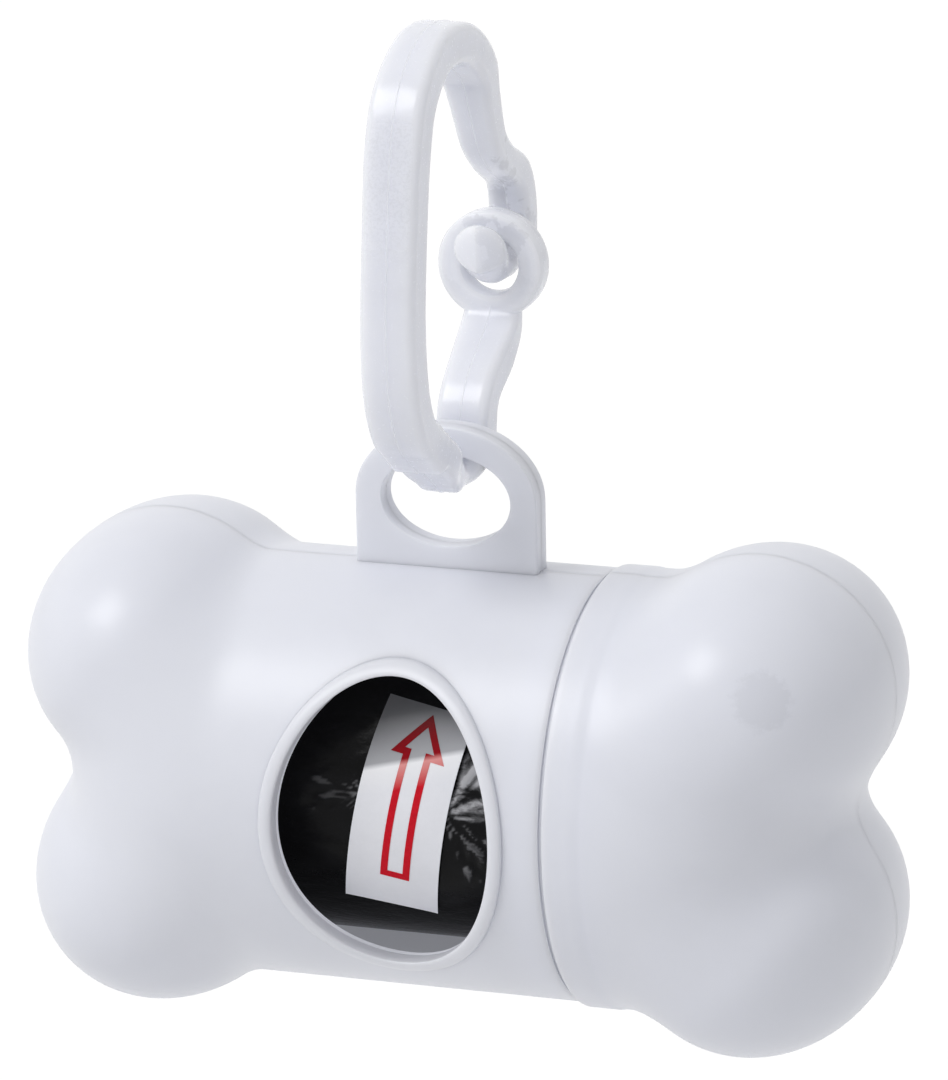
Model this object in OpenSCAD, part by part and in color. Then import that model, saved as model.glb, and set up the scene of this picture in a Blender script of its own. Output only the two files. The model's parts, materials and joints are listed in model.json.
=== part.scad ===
// Bone-shaped bag dispenser that hangs by its lug from a one-piece snap hook.
// +X runs along the barrel towards the screw cap, -Y is the window side and +Z is up.
// The origin is the top of the hook's inside, where a strap or a belt loop bears.
// The modules draw the bone about the middle of its barrel, and place() moves it under the origin.

/* [Barrel] */
// Outside diameter of the barrel
barrel_d = 39.6; // [38:0.1:41]
// Wall of the moulded shells
wall = 1.6; // [1.4:0.1:2]
// Roundness of the drawn circles
facets = 96; // [48:8:160]

/* [Bone ends] */
// Radius of a lobe seen from the front
lobe_r = 12.35; // [11.5:0.05:13.5]
// Half depth of a lobe from front to back
lobe_half_depth = 17.5; // [16.5:0.1:18.5]
// Fullness of a lobe towards its front and back, 2 for a plain ellipsoid
lobe_fullness = 2.17; // [2:0.01:2.5]
// Distance of the lobe centres from the middle of the bone
lobe_x = 28.5; // [27:0.1:30]
// Height of the lobe centres above and below the axis
lobe_z = 10.8; // [9.5:0.05:11.5]
// Blend between a lobe and the barrel at the mid-plane
barrel_blend = 1.2; // [0.8:0.1:2.5]
// Blend between a lobe and the barrel at the front and the back
side_blend = 4.7; // [3:0.1:6]
// Blend between the two lobes of an end
lobe_blend = 6.1; // [4:0.1:8]
// Where the barrel's form ends between the lobes, from the middle of the bone
drum_end_x = 34.9; // [33:0.1:36]
// Edge radius of the barrel's form between the lobes
drum_edge_r = 14.9; // [13:0.1:16]

/* [Screw cap] */
// Seam between body and cap, from the middle of the bone
seam_x = 13.85; // [13:0.05:15]
// Width of the groove at the seam
seam_gap = 0.5; // [0.3:0.1:0.8]
// How far the cap's collar stands proud of the barrel
collar_step = 0.4; // [0.1:0.1:0.6]
// Length of the neck that enters the cap
neck_len = 5.5; // [4:0.1:7]
// Wall of the neck
neck_wall = 1.4; // [1.2:0.1:1.8]
// Length of the neck's root inside the barrel
neck_root = 2.6; // [2:0.1:3]
// Clearance between the neck and the cap's bore
neck_clear = 0.3; // [0.2:0.05:0.4]

/* [Window] */
// Width of the dispensing window
window_w = 20.6; // [16:0.1:21]
// Height of the dispensing window
window_h = 26.9; // [20:0.1:28]
// Middle of the window along the barrel
window_x = -1.3; // [-3:0.05:0]
// Width of the raised rim around the window
rim_w = 1.3; // [1:0.1:2]
// How far the rim stands proud of the barrel
rim_h = 0.7; // [0.4:0.1:1]

/* [Lug] */
// Width of the lug
lug_w = 17.4; // [16.5:0.1:19]
// Thickness of the lug, half on each shell
lug_t = 2.8; // [2:0.1:3]
// Height of the lug's top above the barrel
lug_h = 13.2; // [13:0.1:15]
// Rise of the lug's arched top
lug_arch = 6.8; // [5:0.1:8]
// Middle of the lug along the barrel
lug_x = -1.15; // [-3:0.05:1]
// Width of the oval hole in the lug
lug_hole_w = 12.4; // [11.5:0.1:13]
// Height of the oval hole in the lug
lug_hole_h = 8.6; // [8:0.1:9]
// Band of the lug over its hole
lug_band = 2.6; // [2:0.1:3]

/* [Snap hook] */
// Middle of the hook along the barrel
hook_x = -0.9; // [-1.6:0.05:-0.4]
// Width of the hook's bar through the lug
hook_bar_w = 3.4; // [3:0.1:4]
// Thickness of the hook's bar through the lug
hook_bar_t = 3; // [2.8:0.1:3.4]
// Clearance around the bar as the lug swings on it
swing_clear = 0.3; // [0.1:0.05:0.4]
// Corner radius of the hook's section
hook_corner_r = 0.8; // [0.6:0.1:1.4]
// Outside diameter of the gate's eye
eye_d = 10.2; // [9:0.1:10.5]
// Hole in the gate's eye
eye_hole_d = 5.4; // [4.8:0.1:5.6]
// Thickness of the gate's eye
eye_t = 2.7; // [2:0.1:3.2]
// Diameter of the peg that the eye slips over
peg_d = 3.6; // [3:0.1:3.8]
// Radius of the bend that the gate flexes about
flex_r = 1.9; // [1.7:0.05:2.1]
// Clearance of the gate in its seat at the bend
flex_clear = 0.05; // [0.02:0.01:0.1]

/* [Bag roll] */
// Gap all round between the full roll of bags and the bore
roll_clear = 3; // [2:0.1:4]
// Length of the roll
roll_len = 51.5; // [46:0.1:54]
// Play between the roll's end and the lining of the closed end
roll_end_clear = 0.19; // [0.15:0.01:1]
// Outside diameter of the cardboard core
core_d = 14; // [12:0.5:18]
// Wall of the cardboard core
core_wall = 0.8; // [0.6:0.1:1.2]
// Middle of the label along the barrel
label_x = -0.95; // [-3:0.05:1]
// Width of the paper label
label_w = 8.7; // [7:0.1:10]
// Length of the paper label around the roll
label_len = 20.5; // [16:0.5:24]
// Thickness of the paper label
label_t = 0.15; // [0.1:0.05:0.25]
// Turn of the label from square on the roll
label_skew = 11.5; // [0:0.5:15]

/* [Hidden] */
$fn = facets;

// Front is the window side
FRONT = -1;
REAR = 1;
// Ends of the bone: the body's closed end and the cap's end
CLOSED_END = -1;
CAP_END = 1;
// Overlap that joins two forms of one piece
lap = 0.2;
// Length of a cutter that passes right through the bone
through = 100;

barrel_r = barrel_d / 2;
bore_r = barrel_r - wall;
collar_r = barrel_r + collar_step;
collar_bore_r = collar_r - wall;
neck_r = collar_bore_r - neck_clear;
neck_bore_r = neck_r - neck_wall;
body_end_x = seam_x - seam_gap / 2;
cap_start_x = seam_x + seam_gap / 2;

// An end of the bone is a lofted skin. Its rings stand square to the axis from the mouth, over the
// lobe's reach to fan_x, and from there they fan out from the axis to the tip. The body's skin starts
// inside the barrel's wall.
skin_inset = 0.06;
skin_root = 0.7;
lobe_start_x = lobe_x - lobe_r;
barrel_end_x = lobe_start_x - barrel_blend;
fan_x = lobe_x - 4;
square_rings = 8;
fan_rings = 13;
ring_steps = 28;
halvings = 24;
search_len = lobe_x + lobe_r;

// Lug, and the hook's bar that hangs in its hole
lug_top_z = barrel_r + lug_h;
lug_hole_top_z = lug_top_z - lug_band;
lug_hole_z = lug_hole_top_z - lug_hole_h / 2;
bar_round = min(hook_bar_w, hook_bar_t) / 2;
bar_reach = norm([hook_bar_w / 2 - bar_round, hook_bar_t / 2 - bar_round]) + bar_round;
bar_z = lug_hole_top_z - swing_clear - bar_reach;

// The hook lies in one plane across the barrel. Its path is drawn from the lug's bar, each point as
// [towards the rear, up, width, thickness].
stub_path = [
    [0, 0, hook_bar_w, hook_bar_t],
    [2.4, 0.4, 4.2, 3.2],
    [3.9, 2.6, 5, 3.6],
    [4.2, 4.6, 5, 4.2]
];
spine_path = [
    [0, 0, hook_bar_w, hook_bar_t],
    [-2.6, 0.4, 4.2, 3],
    [-5, 1.9, 4.7, 3.2],
    [-8.6, 4.2, 5.2, 3.6],
    [-12.6, 7.4, 5.3, 3.8],
    [-14.2, 11.4, 5.3, 3.9],
    [-14.5, 17.6, 5.2, 3.9],
    [-13.6, 25.6, 5.2, 3.9],
    [-12.4, 32.4, 5.3, 3.9],
    [-10.2, 36.9, 5.2, 3.9],
    [-5.1, 39.8, 4.9, 3.9],
    [1.2, 39.4, 4.9, 3.8],
    [6, 36.3, 4.8, 3.8],
    [7.8, 33, 4.2, 3.5],
    [9.8, 28.9, 3.9, 3.1],
    [12.6, 26.4, 3.8, 3],
    [16.5, 24.1, 3.9, 3.2],
    [17.7, 20.4, 4, 3.3],
    [17.1, 15.9, 4.1, 3.4]
];
arm_w = 5;
flex_at = [4.4, 5.6];
gate_path = [
    [0, 0, arm_w, 3.3],
    [1.5, 1.2, arm_w, 3.5],
    [4.4, 3.1, 5.3, 3.5],
    [6.3, 4.8, 5.5, 3],
    [7.15, 6.2, 5.4, 2.6],
    [7.6, 7.4, 5.2, 2.4]
];
path_steps = 3;
corner_steps = 2;
eye_at = [12.1, 16.65];
peg_at = [17.4, 17.45];
peg_tip_y = 11.6;
hang_at = [-2, 39.95];
hook_top_t = 3.9;
hang_y = hang_at[0];
hang_z = bar_z + hang_at[1] - hook_top_t / 2;

roll_r = bore_r - roll_clear;
core_r = core_d / 2;

// Smooth union of two distances, rounded over a width k
function smooth_min(a, b, k) =
    let(h = max(0, min(1, 0.5 + 0.5 * (b - a) / k)))
    b * (1 - h) + a * h - k * h * (1 - h);

// Distance outside a lobe, up for the upper one
function lobe_field(p, up) =
    let(
        round_part = norm([p[0] - lobe_x, p[2] - up * lobe_z]) / lobe_r,
        deep_part = abs(p[1]) / lobe_half_depth,
        n = lobe_fullness
    )
    lobe_r * (pow(pow(round_part, n) + pow(deep_part, n), 1 / n) - 1);

// Distance outside the barrel's round-edged drum of radius r
function drum_field(p, r) =
    let(
        along = p[0] - drum_end_x + drum_edge_r,
        out = norm([p[1], p[2]]) - r + drum_edge_r
    )
    min(max(along, out), 0) + norm([max(along, 0), max(out, 0)]) - drum_edge_r;

// Distance outside one end of the bone: two lobes blended into the barrel
function bone_field(p, r) =
    smooth_min(
        smooth_min(lobe_field(p, 1), lobe_field(p, -1), lobe_blend),
        drum_field(p, r),
        barrel_blend + (side_blend - barrel_blend) * min(1, pow(p[1] / barrel_r, 2))
    );

// Point on the ray from p along d where the skin lies inset under the surface
function skin_point(p, d, r, inset, near, far, n) =
    let(mid = (near + far) / 2)
    n == 0 ? p + mid * d
    : bone_field(p + mid * d, r) < -inset ? skin_point(p, d, r, inset, mid, far, n - 1)
    : skin_point(p, d, r, inset, near, mid, n - 1);

// How far from the middle the lining of an end stops the roll's rim, the nearest of its places
roll_stop_x = min([
    for (turn = [0 : 15 : 90])
        skin_point(
            [0, roll_r * cos(turn), roll_r * sin(turn)], [1, 0, 0], barrel_r, wall, 0, search_len, halvings
        )[0]
]);
roll_x = roll_end_clear - roll_stop_x + roll_len / 2;

// Where ring i of a skin from x1 stands on the axis, and how far it leans towards the tip
function ring_x(i, x1) =
    i == 0 ? x1
    : i < square_rings ? lobe_start_x + (fan_x - lobe_start_x) * (i - 1) / (square_rings - 1)
    : fan_x;
function ring_lean(i) = i < square_rings ? 0 : 90 * (i - square_rings) / fan_rings;

// One ring of half a skin, from the bottom of the mid-plane round to its top
function skin_ring(i, x1, side, end, r, inset) = [
    for (j = [0 : ring_steps])
        let(
            turn = 180 * j / ring_steps - 90,
            lean = ring_lean(i),
            d = [sin(lean), side * cos(lean) * cos(turn), cos(lean) * sin(turn)],
            p = skin_point([ring_x(i, x1), 0, 0], d, r, inset, 0, search_len, halvings)
        )
        [end * p[0], p[1], p[2]]
];

function skin_tip(end, r, inset) =
    let(p = skin_point([fan_x, 0, 0], [1, 0, 0], r, inset, 0, search_len, halvings))
    [end * p[0], 0, 0];

// Turns faces over for the mirrored halves, so that all point outwards
function faced(faces, over) = over ? [for (f = faces) [f[2], f[1], f[0]]] : faces;

// Half of one end of the bone from x1 outwards: an outer skin, a lining inside it at depth t, and the
// edge between them
module end_shell(side, end, x1, r, t) {
    rings = square_rings + fan_rings;
    across = ring_steps + 1;
    points = concat(
        [for (inset = [0, t]) for (i = [0 : rings - 1]) each skin_ring(i, x1, side, end, r, inset)],
        [skin_tip(end, r, 0), skin_tip(end, r, t)]
    );
    inner = rings * across;
    outer_tip = 2 * inner;
    inner_tip = outer_tip + 1;
    last = (rings - 1) * across;
    skin = [
        for (i = [0 : rings - 2]) for (j = [0 : ring_steps - 1])
            let(a = i * across + j, b = a + across)
            each [[a, b, a + 1], [a + 1, b, b + 1]]
    ];
    lining = [for (f = skin) [f[2] + inner, f[1] + inner, f[0] + inner]];
    outer_cap = [for (j = [0 : ring_steps - 1]) [last + j, outer_tip, last + j + 1]];
    inner_cap = [for (j = [0 : ring_steps - 1]) [inner + last + j + 1, inner_tip, inner + last + j]];
    mouth = [
        for (j = [0 : ring_steps - 1])
            each [[j, j + 1, inner + j], [j + 1, inner + j + 1, inner + j]]
    ];
    low_edge = [
        for (i = [0 : rings - 2])
            let(a = i * across, b = a + across)
            each [[a, a + inner, b], [b, a + inner, b + inner]]
    ];
    high_edge = [
        for (i = [0 : rings - 2])
            let(a = i * across + ring_steps, b = a + across)
            each [[a, b, a + inner], [b, b + inner, a + inner]]
    ];
    tip_edges = [
        [last, inner + last, outer_tip],
        [outer_tip, inner + last, inner_tip],
        [last + ring_steps, outer_tip, inner + last + ring_steps],
        [outer_tip, inner_tip, inner + last + ring_steps]
    ];
    faces = concat(skin, lining, outer_cap, inner_cap, mouth, low_edge, high_edge, tip_edges);
    polyhedron(points, faced(faces, side * end < 0), convexity = 6);
}

// Tube along the barrel from x1 to x2. Its circles start at the side, clear of the mid-plane.
module barrel_tube(r_out, r_in, x1, x2) {
    translate([x1, 0, 0]) rotate([0, 90, 0]) rotate([0, 0, 90]) difference() {
        cylinder(r = r_out, h = x2 - x1);
        translate([0, 0, -1]) cylinder(r = r_in, h = x2 - x1 + 2);
    }
}

// Keeps the half of what it holds that lies on one side of the mid-plane
module half(side) {
    intersection() {
        children();
        translate([-through / 2, side < 0 ? -through : 0, -through / 2])
            cube([through, through, through]);
    }
}

// Oval prism through the window side
module window_prism(w, h) {
    translate([window_x, 0, 0])
        rotate([90, 0, 0])
        scale([1, h / w, 1])
        cylinder(d = w, h = barrel_d);
}

// Raised rim that follows the barrel round the window
module window_rim() {
    difference() {
        intersection() {
            window_prism(window_w + 2 * rim_w, window_h + 2 * rim_w);
            barrel_tube(barrel_r + rim_h, barrel_r - wall / 2, -through / 4, through / 4);
        }
        window_prism(window_w, window_h);
    }
}

// Outline of the lug, from its root in the barrel's wall to its arched top
module lug_outline() {
    spring_z = lug_top_z - lug_arch;
    difference() {
        union() {
            translate([-lug_w / 2, barrel_r - wall / 2]) square([lug_w, spring_z - barrel_r + wall / 2]);
            intersection() {
                translate([0, spring_z]) scale([1, 2 * lug_arch / lug_w]) circle(d = lug_w);
                translate([-lug_w / 2, spring_z - lap]) square([lug_w, lug_arch + 2 * lap]);
            }
        }
        translate([0, lug_hole_z]) scale([1, lug_hole_h / lug_hole_w]) circle(d = lug_hole_w);
    }
}

module lug_half(side) {
    translate([lug_x, side < 0 ? 0 : lug_t / 2, 0])
        rotate([90, 0, 0])
        linear_extrude(lug_t / 2)
        lug_outline();
}

// Half of the body: barrel, neck for the cap, closed lobed end and half of the lug
module body_shell(side) {
    end_shell(
        side, CLOSED_END, barrel_end_x - skin_root, barrel_r - skin_inset, wall - 2 * skin_inset
    );
    half(side) {
        barrel_tube(barrel_r, bore_r, -barrel_end_x, body_end_x);
        barrel_tube(bore_r + lap, neck_bore_r, body_end_x - neck_root, body_end_x);
        barrel_tube(neck_r, neck_bore_r, body_end_x - neck_root, body_end_x + neck_len);
    }
    lug_half(side);
}

module body_front_shell() {
    color([0.86, 0.87, 0.92]) {
        difference() {
            body_shell(FRONT);
            window_prism(window_w, window_h);
        }
        window_rim();
    }
}

module body_rear_shell() {
    color([0.84, 0.85, 0.9]) body_shell(REAR);
}

// Half of the cap: a collar over the neck that flares into the lobed end
module cap_front_shell() {
    color([0.86, 0.87, 0.92]) end_shell(FRONT, CAP_END, cap_start_x, collar_r, wall);
}

module cap_rear_shell() {
    color([0.84, 0.85, 0.9]) end_shell(REAR, CAP_END, cap_start_x, collar_r, wall);
}

// Point t of the way from b to c on a smooth path through a, b, c and d
function path_point(a, b, c, d, t) =
    0.5 * (2 * b + (c - a) * t + (2 * a - 5 * b + 4 * c - d) * t * t
        + (3 * b - a - 3 * c + d) * t * t * t);

function smooth_path(path) =
    let(
        n = len(path),
        long = concat([2 * path[0] - path[1]], path, [2 * path[n - 1] - path[n - 2]])
    )
    concat(
        [
            for (i = [0 : n - 2]) for (k = [0 : path_steps - 1])
                path_point(long[i], long[i + 1], long[i + 2], long[i + 3], k / path_steps)
        ],
        [path[n - 1]]
    );

// Rounded oblong section, w across the hook's plane and t in it
function section(w, t, r) =
    let(c = min(r, w / 2 - 0.01, t / 2 - 0.01))
    [
        for (q = [0 : 3]) for (k = [0 : corner_steps])
            let(
                turn = 90 * (q + k / corner_steps),
                right = q == 0 || q == 3 ? 1 : -1,
                up = q < 2 ? 1 : -1
            )
            [right * (w / 2 - c) + c * cos(turn), up * (t / 2 - c) + c * sin(turn)]
    ];

// Bar of changing section along a path in the hook's plane. Only a section as small as the one that
// hangs in the lug is rounded as far as that one is.
module hook_bar(path) {
    track = smooth_path(path);
    n = len(track);
    sides = 4 * (corner_steps + 1);
    points = [
        for (i = [0 : n - 1])
            let(
                ahead = track[min(i + 1, n - 1)] - track[max(i - 1, 0)],
                flat = [ahead[0], ahead[1]],
                along = flat / norm(flat),
                across = [-along[1], along[0]],
                in_lug = abs(track[i][0]) < lug_t / 2 + 1 && track[i][1] < 1,
                r = in_lug ? bar_round : hook_corner_r
            )
            for (s = section(track[i][2], track[i][3], r))
                [s[0], track[i][0] + across[0] * s[1], track[i][1] + across[1] * s[1]]
    ];
    walls = [
        for (i = [0 : n - 2]) for (j = [0 : sides - 1])
            let(a = i * sides + j, b = i * sides + (j + 1) % sides)
            each [[a, b, a + sides], [b, b + sides, a + sides]]
    ];
    start = [for (j = [sides - 1 : -1 : 0]) j];
    finish = [for (j = [0 : sides - 1]) (n - 1) * sides + j];
    polyhedron(points, concat(walls, [finish, start]), convexity = 8);
}

module place() {
    translate([-hook_x, -hang_y, -hang_z]) children();
}

// Puts what is drawn about the lug's bar where the bar hangs
module at_bar() {
    translate([hook_x, 0, bar_z]) children();
}

// Cylinder across the hook's plane, centred on a point of it
module cross_cylinder(at, r, w) {
    translate([-w / 2, at[0], at[1]]) rotate([0, 90, 0]) cylinder(r = r, h = w);
}

module hook_frame() {
    frame_path = concat([for (i = [len(stub_path) - 1 : -1 : 1]) stub_path[i]], spine_path);
    color([0.84, 0.86, 0.91]) at_bar() {
        difference() {
            hook_bar(frame_path);
            cross_cylinder(flex_at, flex_r + flex_clear, 2 * arm_w);
        }
        translate([0, peg_at[0], peg_at[1]])
            rotate([90, 0, 0])
            cylinder(d = peg_d, h = peg_at[0] - peg_tip_y);
    }
}

module hook_gate() {
    color([0.84, 0.86, 0.91]) at_bar() {
        translate([0, flex_at[0], flex_at[1]]) hook_bar(gate_path);
        cross_cylinder(flex_at, flex_r, arm_w);
        translate([0, eye_at[0] + eye_t / 2, eye_at[1]]) rotate([90, 0, 0]) difference() {
            cylinder(d = eye_d, h = eye_t);
            translate([0, 0, -1]) cylinder(d = eye_hole_d, h = eye_t + 2);
        }
    }
}

module bag_roll() {
    color([0.06, 0.06, 0.07]) barrel_tube(roll_r, core_r, roll_x - roll_len / 2, roll_x + roll_len / 2);
}

module roll_core() {
    color([0.55, 0.45, 0.34]) barrel_tube(core_r, core_r - core_wall, roll_x - roll_len / 2, roll_x + roll_len / 2);
}

module roll_label() {
    color([0.88, 0.88, 0.9]) intersection() {
        barrel_tube(roll_r + label_t, roll_r, label_x - roll_len / 4, label_x + roll_len / 4);
        translate([label_x, 0, 0])
            rotate([90, 0, 0])
            rotate([0, 0, -label_skew])
            translate([-label_w / 2, -label_len / 2, 0])
            cube([label_w, label_len, barrel_d]);
    }
}

place() body_front_shell();
place() body_rear_shell();
place() cap_front_shell();
place() cap_rear_shell();
place() hook_frame();
place() hook_gate();
place() bag_roll();
place() roll_core();
place() roll_label();
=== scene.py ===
"""Finished look of a bone-shaped bag dispenser on its snap hook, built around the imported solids."""

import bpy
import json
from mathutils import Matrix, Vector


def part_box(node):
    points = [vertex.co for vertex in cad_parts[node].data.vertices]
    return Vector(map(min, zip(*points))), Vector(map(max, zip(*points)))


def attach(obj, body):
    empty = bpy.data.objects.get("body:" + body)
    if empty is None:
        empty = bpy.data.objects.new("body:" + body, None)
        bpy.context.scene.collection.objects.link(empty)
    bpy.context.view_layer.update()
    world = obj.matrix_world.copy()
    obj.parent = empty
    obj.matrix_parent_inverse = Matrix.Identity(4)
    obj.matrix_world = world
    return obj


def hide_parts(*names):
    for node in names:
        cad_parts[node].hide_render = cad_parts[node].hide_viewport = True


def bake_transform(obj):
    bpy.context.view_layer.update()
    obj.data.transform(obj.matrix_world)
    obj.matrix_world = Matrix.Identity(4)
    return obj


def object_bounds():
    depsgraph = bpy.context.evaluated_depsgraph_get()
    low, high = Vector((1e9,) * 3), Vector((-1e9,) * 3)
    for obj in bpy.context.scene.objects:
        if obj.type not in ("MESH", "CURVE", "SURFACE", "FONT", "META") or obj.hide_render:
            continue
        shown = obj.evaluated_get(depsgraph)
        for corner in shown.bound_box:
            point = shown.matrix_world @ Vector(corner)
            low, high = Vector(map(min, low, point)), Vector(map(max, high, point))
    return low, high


bl_info = {
    "name": "Bag Dispenser",
    "version": (1, 0, 0),
    "blender": (4, 5, 0),
    "location": "3D View > Sidebar > Dispenser",
    "description": "Builds the moulded shells, the snap hook, the roll of bags and the studio",
    "category": "Object",
}

import json
import math

import bpy
import numpy as np
from bpy.props import FloatProperty, FloatVectorProperty, PointerProperty
from mathutils import Matrix, Vector

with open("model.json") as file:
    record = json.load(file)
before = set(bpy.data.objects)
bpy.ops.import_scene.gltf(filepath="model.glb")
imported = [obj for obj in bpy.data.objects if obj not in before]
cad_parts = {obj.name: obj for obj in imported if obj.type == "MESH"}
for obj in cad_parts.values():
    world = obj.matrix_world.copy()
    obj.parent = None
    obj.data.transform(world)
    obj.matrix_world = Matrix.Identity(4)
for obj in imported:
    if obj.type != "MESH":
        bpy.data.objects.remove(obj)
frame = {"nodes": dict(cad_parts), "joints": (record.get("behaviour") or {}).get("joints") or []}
CAD_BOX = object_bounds()
MM = 0.001
SAME_POINT = 0.001 * MM
JOINTS = {joint["name"]: joint for joint in frame["joints"]}
FRONT, REAR = -1, 1
PARTING_ANGLE = math.radians(55)
CLOSED_END, CAP_END = -1, 1


def bone_middle():
    """Middle of the bone: half way between its tips, on the roll's axis."""
    closed_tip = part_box("body_rear_shell")[0][0]
    cap_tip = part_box("cap_rear_shell")[1][0]
    low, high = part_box("bag_roll")
    return Vector(((closed_tip + cap_tip) / 2, (low[1] + high[1]) / 2, (low[2] + high[2]) / 2))


BONE = bone_middle()
BAR = Vector(JOINTS["dispenser_swing"]["pos_m"])


# ---------------------------------------------------------------- sizes and colours


def length(name, description, millimetres):
    return FloatProperty(
        name=name, description=description, default=millimetres * MM, unit="LENGTH", precision=5
    )


def angle(name, description, degrees):
    return FloatProperty(
        name=name, description=description, default=math.radians(degrees), subtype="ANGLE"
    )


def colour(name, description, rgb):
    return FloatVectorProperty(
        name=name, description=description, default=rgb, size=3, min=0, max=1, subtype="COLOR"
    )


def amount(name, description, value):
    return FloatProperty(name=name, description=description, default=value, min=0)


class ShellSizes(bpy.types.PropertyGroup):
    """Sizes of the moulded body and cap."""

    barrel_d: length("Barrel diameter", "Outside diameter of the barrel", 39.6)
    wall: length("Wall", "Wall of the moulded shells", 1.6)
    lobe_r: length("Lobe radius", "Radius of a lobe seen from the front", 12.35)
    lobe_half_depth: length("Lobe half depth", "Half depth of a lobe from front to back", 17.5)
    lobe_fullness: amount("Lobe fullness", "Fullness of a lobe towards its front and back", 2.17)
    lobe_x: length("Lobe distance", "Distance of the lobes from the bone's middle", 28.5)
    lobe_z: length("Lobe height", "Height of the lobes above and below the axis", 10.8)
    barrel_blend: length("Barrel blend", "Blend between lobe and barrel at the mid-plane", 1.2)
    side_blend: length("Side blend", "Blend between lobe and barrel at front and back", 4.7)
    lobe_blend: length("Lobe blend", "Blend between the two lobes of an end", 6.1)
    drum_end: length("Drum end", "Where the barrel's form ends between the lobes", 34.9)
    drum_edge: length("Drum edge", "Edge radius of the barrel's form between the lobes", 14.9)
    seam_x: length("Seam", "Seam between body and cap, from the bone's middle", 13.85)
    seam_gap: length("Seam gap", "Width of the groove at the seam", 0.5)
    collar_step: length("Collar step", "How far the cap stands proud of the barrel", 0.4)
    collar_w: length("Collar width", "Width of the raised band at the cap's mouth", 2.6)
    collar_fall: length("Collar fall", "How far the band stands proud of the rest of the cap", 0.1)
    sill_depth: length("Sill depth", "Depth of the groove at the seam", 0.2)
    parting: length("Parting edge", "Width of the rounded edge at the parting line", 0.015)
    neck_len: length("Neck length", "Length of the neck that enters the cap", 5.5)
    neck_wall: length("Neck wall", "Wall of the neck", 1.4)
    neck_clear: length("Neck clearance", "Clearance between the neck and the cap's bore", 0.3)
    thread_pitch: length("Thread pitch", "Pitch of the neck's thread", 1.7)
    window_w: length("Window width", "Width of the dispensing window", 20.6)
    window_h: length("Window height", "Height of the dispensing window", 26.9)
    window_x: length("Window place", "Middle of the window along the barrel", -1.3)
    rim_w: length("Rim width", "Width of the bead round the window", 1.3)
    rim_h: length("Rim height", "How far the bead stands proud of the barrel", 0.6)
    lug_w: length("Lug width", "Width of the lug", 17.4)
    lug_t: length("Lug thickness", "Thickness of the lug", 2.8)
    lug_h: length("Lug height", "Height of the lug above the barrel", 13.2)
    lug_arch: length("Lug arch", "Rise of the lug's arched top", 6.8)
    lug_x: length("Lug place", "Middle of the lug along the barrel", -1.15)
    lug_hole_w: length("Lug hole width", "Width of the lug's oval hole", 12.4)
    lug_hole_h: length("Lug hole height", "Height of the lug's oval hole", 8.6)
    lug_band: length("Lug band", "Band of the lug over its hole", 2.6)
    lug_round: length("Lug rounding", "Rounding of the lug's outer edges", 0.22)


class HookSizes(bpy.types.PropertyGroup):
    """Sizes of the snap hook."""

    corner_r: length("Corner radius", "Corner radius of the hook's section", 0.8)
    bead: length("Mould line", "Height of the mould line round the hook", 0.08)
    eye_d: length("Eye diameter", "Outside diameter of the gate's eye", 10.2)
    eye_hole_d: length("Eye hole", "Hole in the gate's eye", 5.4)
    eye_t: length("Eye thickness", "Thickness of the gate's eye", 2.7)
    peg_d: length("Peg diameter", "Diameter of the peg in the eye", 4.1)


class RollSizes(bpy.types.PropertyGroup):
    """Sizes of the roll of bags and its label."""

    crease: length("Crease height", "Height of the creases in the film", 0.11)
    label_w: length("Label width", "Width of the paper label", 8.65)
    label_len: length("Label length", "Length of the label round the roll", 20.4)
    label_x: length("Label place", "Middle of the label along the barrel", -0.95)
    label_lift: length("Label lift", "Gap under the label's free edges", 0.06)
    label_skew: angle("Label skew", "Turn of the label from square on the roll", 11.5)
    label_up: angle("Label turn", "Turn of the label up round the roll", 2.5)
    shade_edge: length("Shade edge", "Height over the axis where the rim's shadow on the label starts", 5.3)
    stroke: length("Arrow stroke", "Width of the arrow's printed line", 0.66)


class Finishes(bpy.types.PropertyGroup):
    """Colours of the parts, and the strength of the painted glow that stands in for the light that comes
    through them.
    """

    shell: colour("Shell", "Moulded shells", (0.785, 0.8, 0.868))
    hook: colour("Hook", "Snap hook", (0.772, 0.783, 0.837))
    film: colour("Film", "Film of the bags", (0.003, 0.003, 0.0033))
    film_scuff: colour("Film scuff", "Film where it is rubbed", (0.007, 0.007, 0.008))
    # painted highlight on the film's gathered folds, not a colour of the film itself
    film_fold_highlight: colour("Film crease", "Bright folds of the film", (0.42, 0.42, 0.44))
    paper: colour("Paper", "Label paper", (0.86, 0.868, 0.918))
    ink: colour("Ink", "Printed arrow", (0.66, 0.012, 0.026))
    # through and glow: painted glows, given as emission, that stand in for light coming through the plastic
    through: amount("Through light", "Light that comes through the shells' wall", 0.2)
    glow: amount("Glow", "Light that comes through the hook", 0.045)
    board: colour("Board", "Cardboard core", (0.27, 0.185, 0.11))


class StageSettings(bpy.types.PropertyGroup):
    """Camera, floor and light."""

    azimuth: angle("Azimuth", "Turn of the camera round the bone", 19.938)
    elevation: angle("Elevation", "Height of the camera over the bone", 17.722)
    roll: angle("Roll", "Roll of the camera", -1.1207)
    aim_up: angle("Aim up", "Turn of the camera's aim above the bone", 1.8608)
    aim_right: angle("Aim right", "Turn of the camera's aim to the right", 0.0512)
    distance: length("Distance", "Distance of the camera from the bone", 654.5)
    lens: FloatProperty(name="Lens", description="Focal length", default=238.18, unit="CAMERA")
    floor_drop: length("Floor drop", "Height that the bone hangs above the floor", 26)
    sky: amount("Sky", "Strength of the light from all round", 0.656)
    dim: amount("Dim", "Share of the sky's light missing on its dark side", 0.35)
    key: amount("Key", "Power of the key softbox, in watts", 3.0)


# ---------------------------------------------------------------- mesh helpers


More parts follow.
